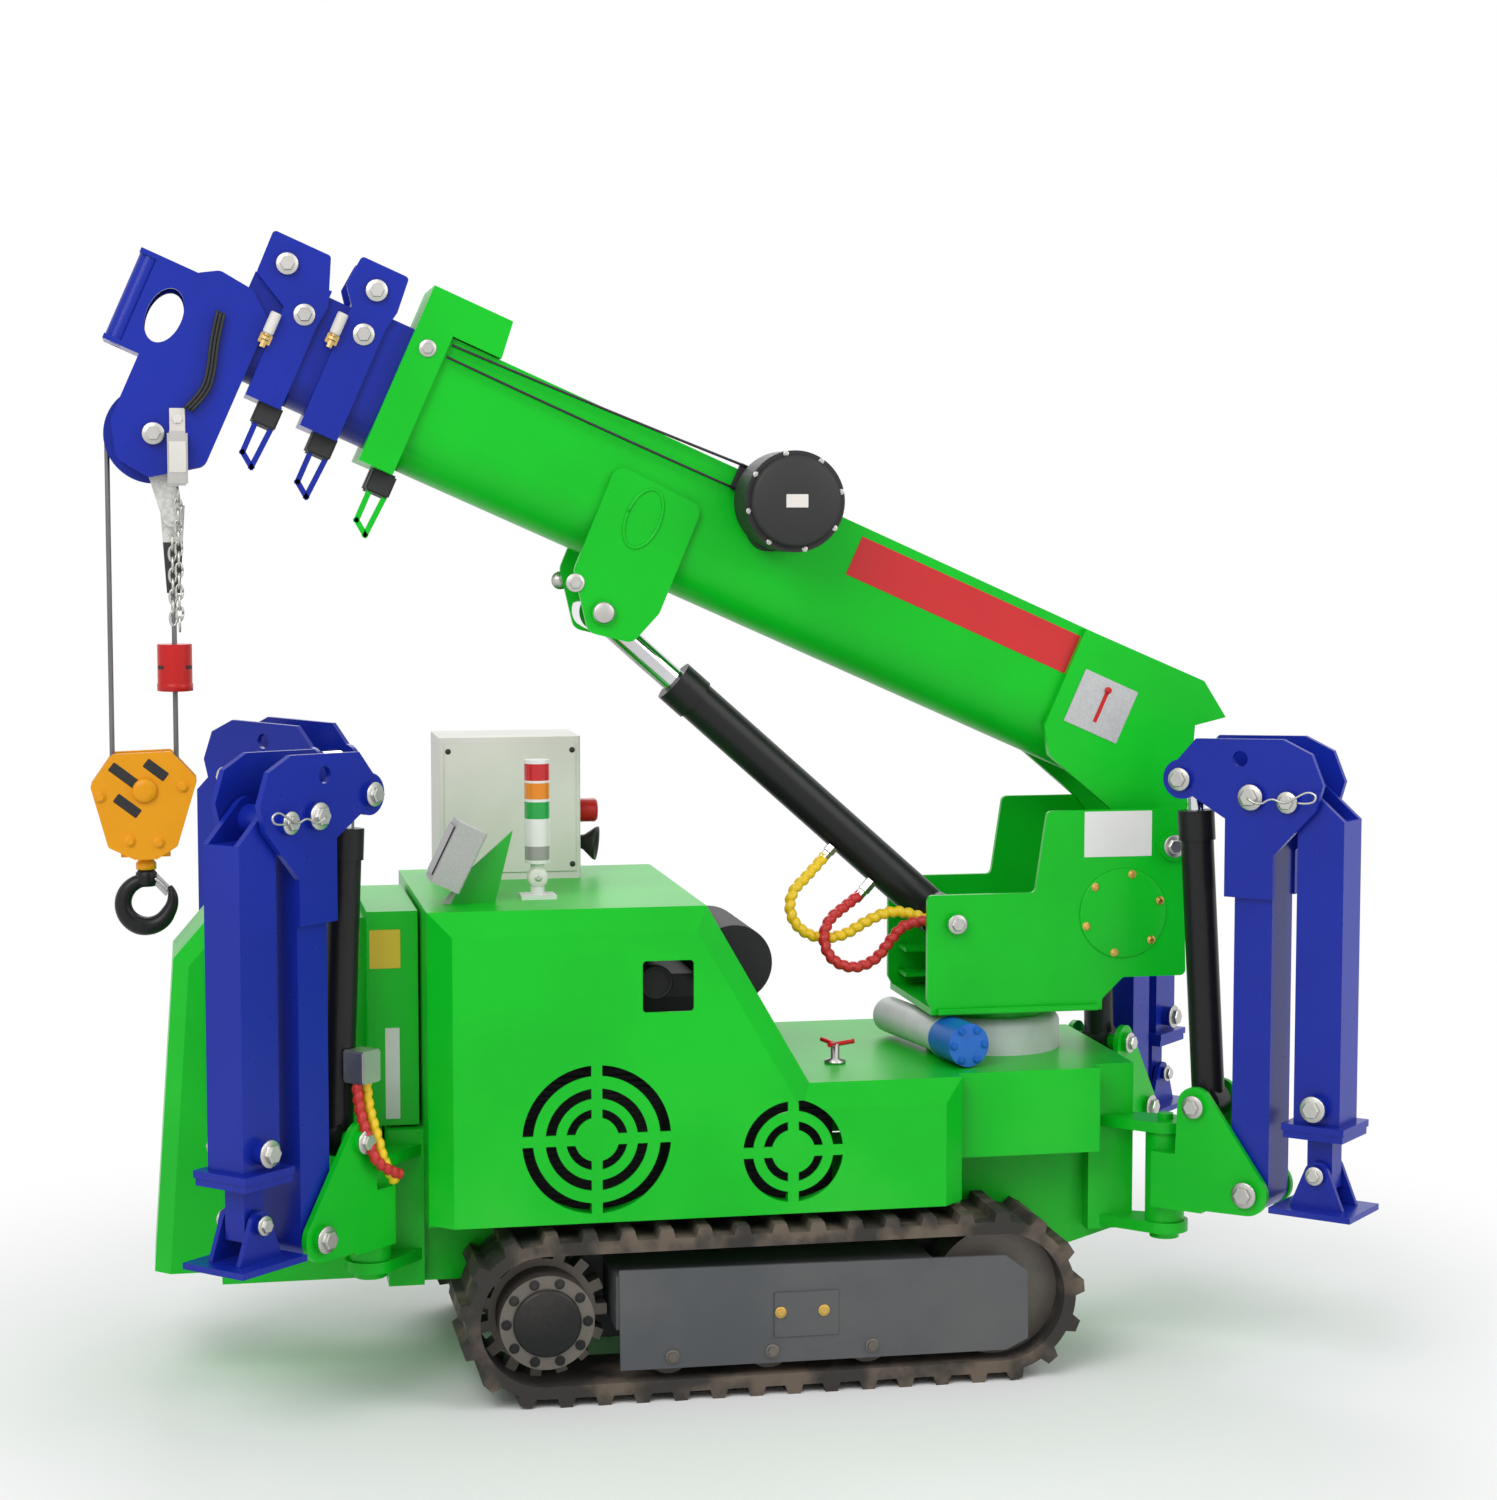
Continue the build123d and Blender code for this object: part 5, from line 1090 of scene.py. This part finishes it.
# %% Bracket oval and coolers
OVAL_WIRE, OVAL_STEPS = 0.0035, 40
COOLER_FACE, COOLER_DEPTH = 0.300, 0.020
FIN_PITCH, FIN_THICK, FIN_PROUD, FIN_INSET = 0.012, 0.003, 0.008, 0.006
COOLER_RANGES = (((-0.050, 0.145), (0.345, 0.560)), ((-0.485, -0.200), (0.330, 0.640)))
for side, side_name in SIDES:
    mesh = bmesh.new()
    ring = oval(on_boom(1.275, 0.170, side * 0.112), UP_BOOM * 0.034, OVER_BOOM * 0.062, OVAL_STEPS)
    tube(mesh, ring, lambda way, turn: OVAL_WIRE, 0, 8)
    piece(f"bracket_oval_{side_name}", mesh, "boom", "green_paint", GREEN)
    mesh = bmesh.new()
    face_y = side * COOLER_FACE
    for (low_x, high_x), (low_z, high_z) in COOLER_RANGES:
        side_slab(mesh, (low_x, high_x), (face_y, face_y - side * COOLER_DEPTH), (low_z, high_z), 0.003, 0)
        for k in range(int((high_z - low_z) / FIN_PITCH)):
            fin_z = low_z + FIN_INSET + FIN_PITCH * k
            side_slab(mesh, (low_x + FIN_INSET, high_x - FIN_INSET), (face_y, face_y + side * FIN_PROUD),
                      (fin_z, fin_z + FIN_THICK), 0.0008, 0)
    piece(f"coolers_{side_name}", mesh, "chassis", "engine_black", ENGINE)

# %% [markdown]
# The photograph's camera was worked out from the edges of the tracks and pads, so it is set by numbers.

# %% Camera
CAMERA_PLACE = Vector((-1.133, -5.842, 1.720))
TURN, DIP, LENS = radians(11.3), radians(4.65), 69.6
scene = bpy.context.scene
ahead = Vector((sin(TURN) * cos(DIP), cos(TURN) * cos(DIP), -sin(DIP)))
camera_data = bpy.data.cameras.new("camera")
camera_data.lens = LENS
camera = bpy.data.objects.new("camera", camera_data)
camera.location = CAMERA_PLACE
camera.rotation_euler = ahead.to_track_quat("-Z", "Y").to_euler()
scene.collection.objects.link(camera)
scene.camera = camera
scene.view_settings.view_transform = "Standard"
print("camera at", tuple(round(v, 3) for v in CAMERA_PLACE))

# %% [markdown]
# The floor is pale near the crane, where it takes the soft shadow, and fades to white further out. A Light Path node
# keeps the fade to what is seen, so that it doesn't light the crane.


# %% Floor
WHITE = (1.0, 1.0, 1.0, 1.0)
FLOOR_REACH, FADE_FROM, FADE_TO = 30, 1.3, 2.4


def seen_share(tree):
    """One for rays that show the background itself: from the camera, a mirror or glass."""
    path = tree.nodes.new("ShaderNodeLightPath")
    shares = [Shade(tree, path.outputs[name]) for name in ("Is Camera Ray", "Is Glossy Ray", "Is Transmission Ray")]
    return (shares[0] + shares[1] + shares[2]).math("MINIMUM", 1.0)


def mix_surface(share, first, second, out):
    """Shows the first surface where the share is zero and the second where it is one."""
    mixed = share.node("ShaderNodeMixShader", i0=share, i1=first, i2=second)
    share.tree.links.new(mixed.socket, out.inputs[0])


floor_mesh = bpy.data.meshes.new("floor")
corners = [(x * FLOOR_REACH, y * FLOOR_REACH, 0) for x, y in ((-1, -1), (1, -1), (1, 1), (-1, 1))]
floor_mesh.from_pydata(corners, [], [(0, 1, 2, 3)])
floor = bpy.data.objects.new("floor", floor_mesh)
scene.collection.objects.link(floor)
floor_finish, floor_shader, floor_place = new_finish("floor_pale")
cloud = ramp(noise(floor_place, 0.6), 0.3, 0.7)
plug(floor_shader, Base_Color=blend_colour(cloud, (0.90, 0.90, 0.90), (0.92, 0.92, 0.92)), Roughness=0.9,
     Specular_IOR_Level=0.0)
floor_tree = floor_finish.node_tree
pale = Shade(floor_tree, floor_shader.outputs[0])
glow = floor_place.node("ShaderNodeEmission", Color=WHITE, Strength=1.0)
distance = floor_place.node("ShaderNodeVectorMath", {"operation": "LENGTH"}, output=1, i0=floor_place)
fade = ramp(distance, FADE_FROM, FADE_TO) * seen_share(floor_tree)
mix_surface(fade, pale, glow, floor_tree.nodes["Material Output"])
floor_mesh.materials.append(floor_finish)
print("floor fades from", FADE_FROM, "to", FADE_TO, "m")

# %% [markdown]
# Three large soft boxes and an even sky light the crane, at a level where a colour renders about as written. The sky is
# white where it is seen and weaker where it lights.

# %% Sky and lamps
SKY_STRENGTH, LAMP_SIZE, LAMP_TARGET = 0.58, 4.0, Vector((0, 0, 0.8))
LAMPS = (("key", (-3.5, -5.0, 5.5), 230), ("fill", (4.5, -4.0, 4.0), 120), ("back", (0.5, 5.0, 5.0), 140))
world = bpy.data.worlds.new("studio")
scene.world = world
world.use_nodes = True
sky_tree = world.node_tree
background = sky_tree.nodes["Background"]
plug(background, Color=WHITE, Strength=SKY_STRENGTH)
light = Shade(sky_tree, background.outputs[0])
backdrop = light.node("ShaderNodeBackground", Color=WHITE, Strength=1.0)
mix_surface(seen_share(sky_tree), light, backdrop, sky_tree.nodes["World Output"])
for lamp_name, where, power in LAMPS:
    lamp_data = bpy.data.lights.new(lamp_name, "AREA")
    lamp_data.size = LAMP_SIZE
    lamp_data.energy = power
    lamp = bpy.data.objects.new(lamp_name, lamp_data)
    lamp.location = where
    lamp.rotation_euler = (LAMP_TARGET - Vector(where)).to_track_quat("-Z", "Y").to_euler()
    scene.collection.objects.link(lamp)
print("lamps:", len(LAMPS))

# %% [markdown]

# %% The end
print("scene ready")
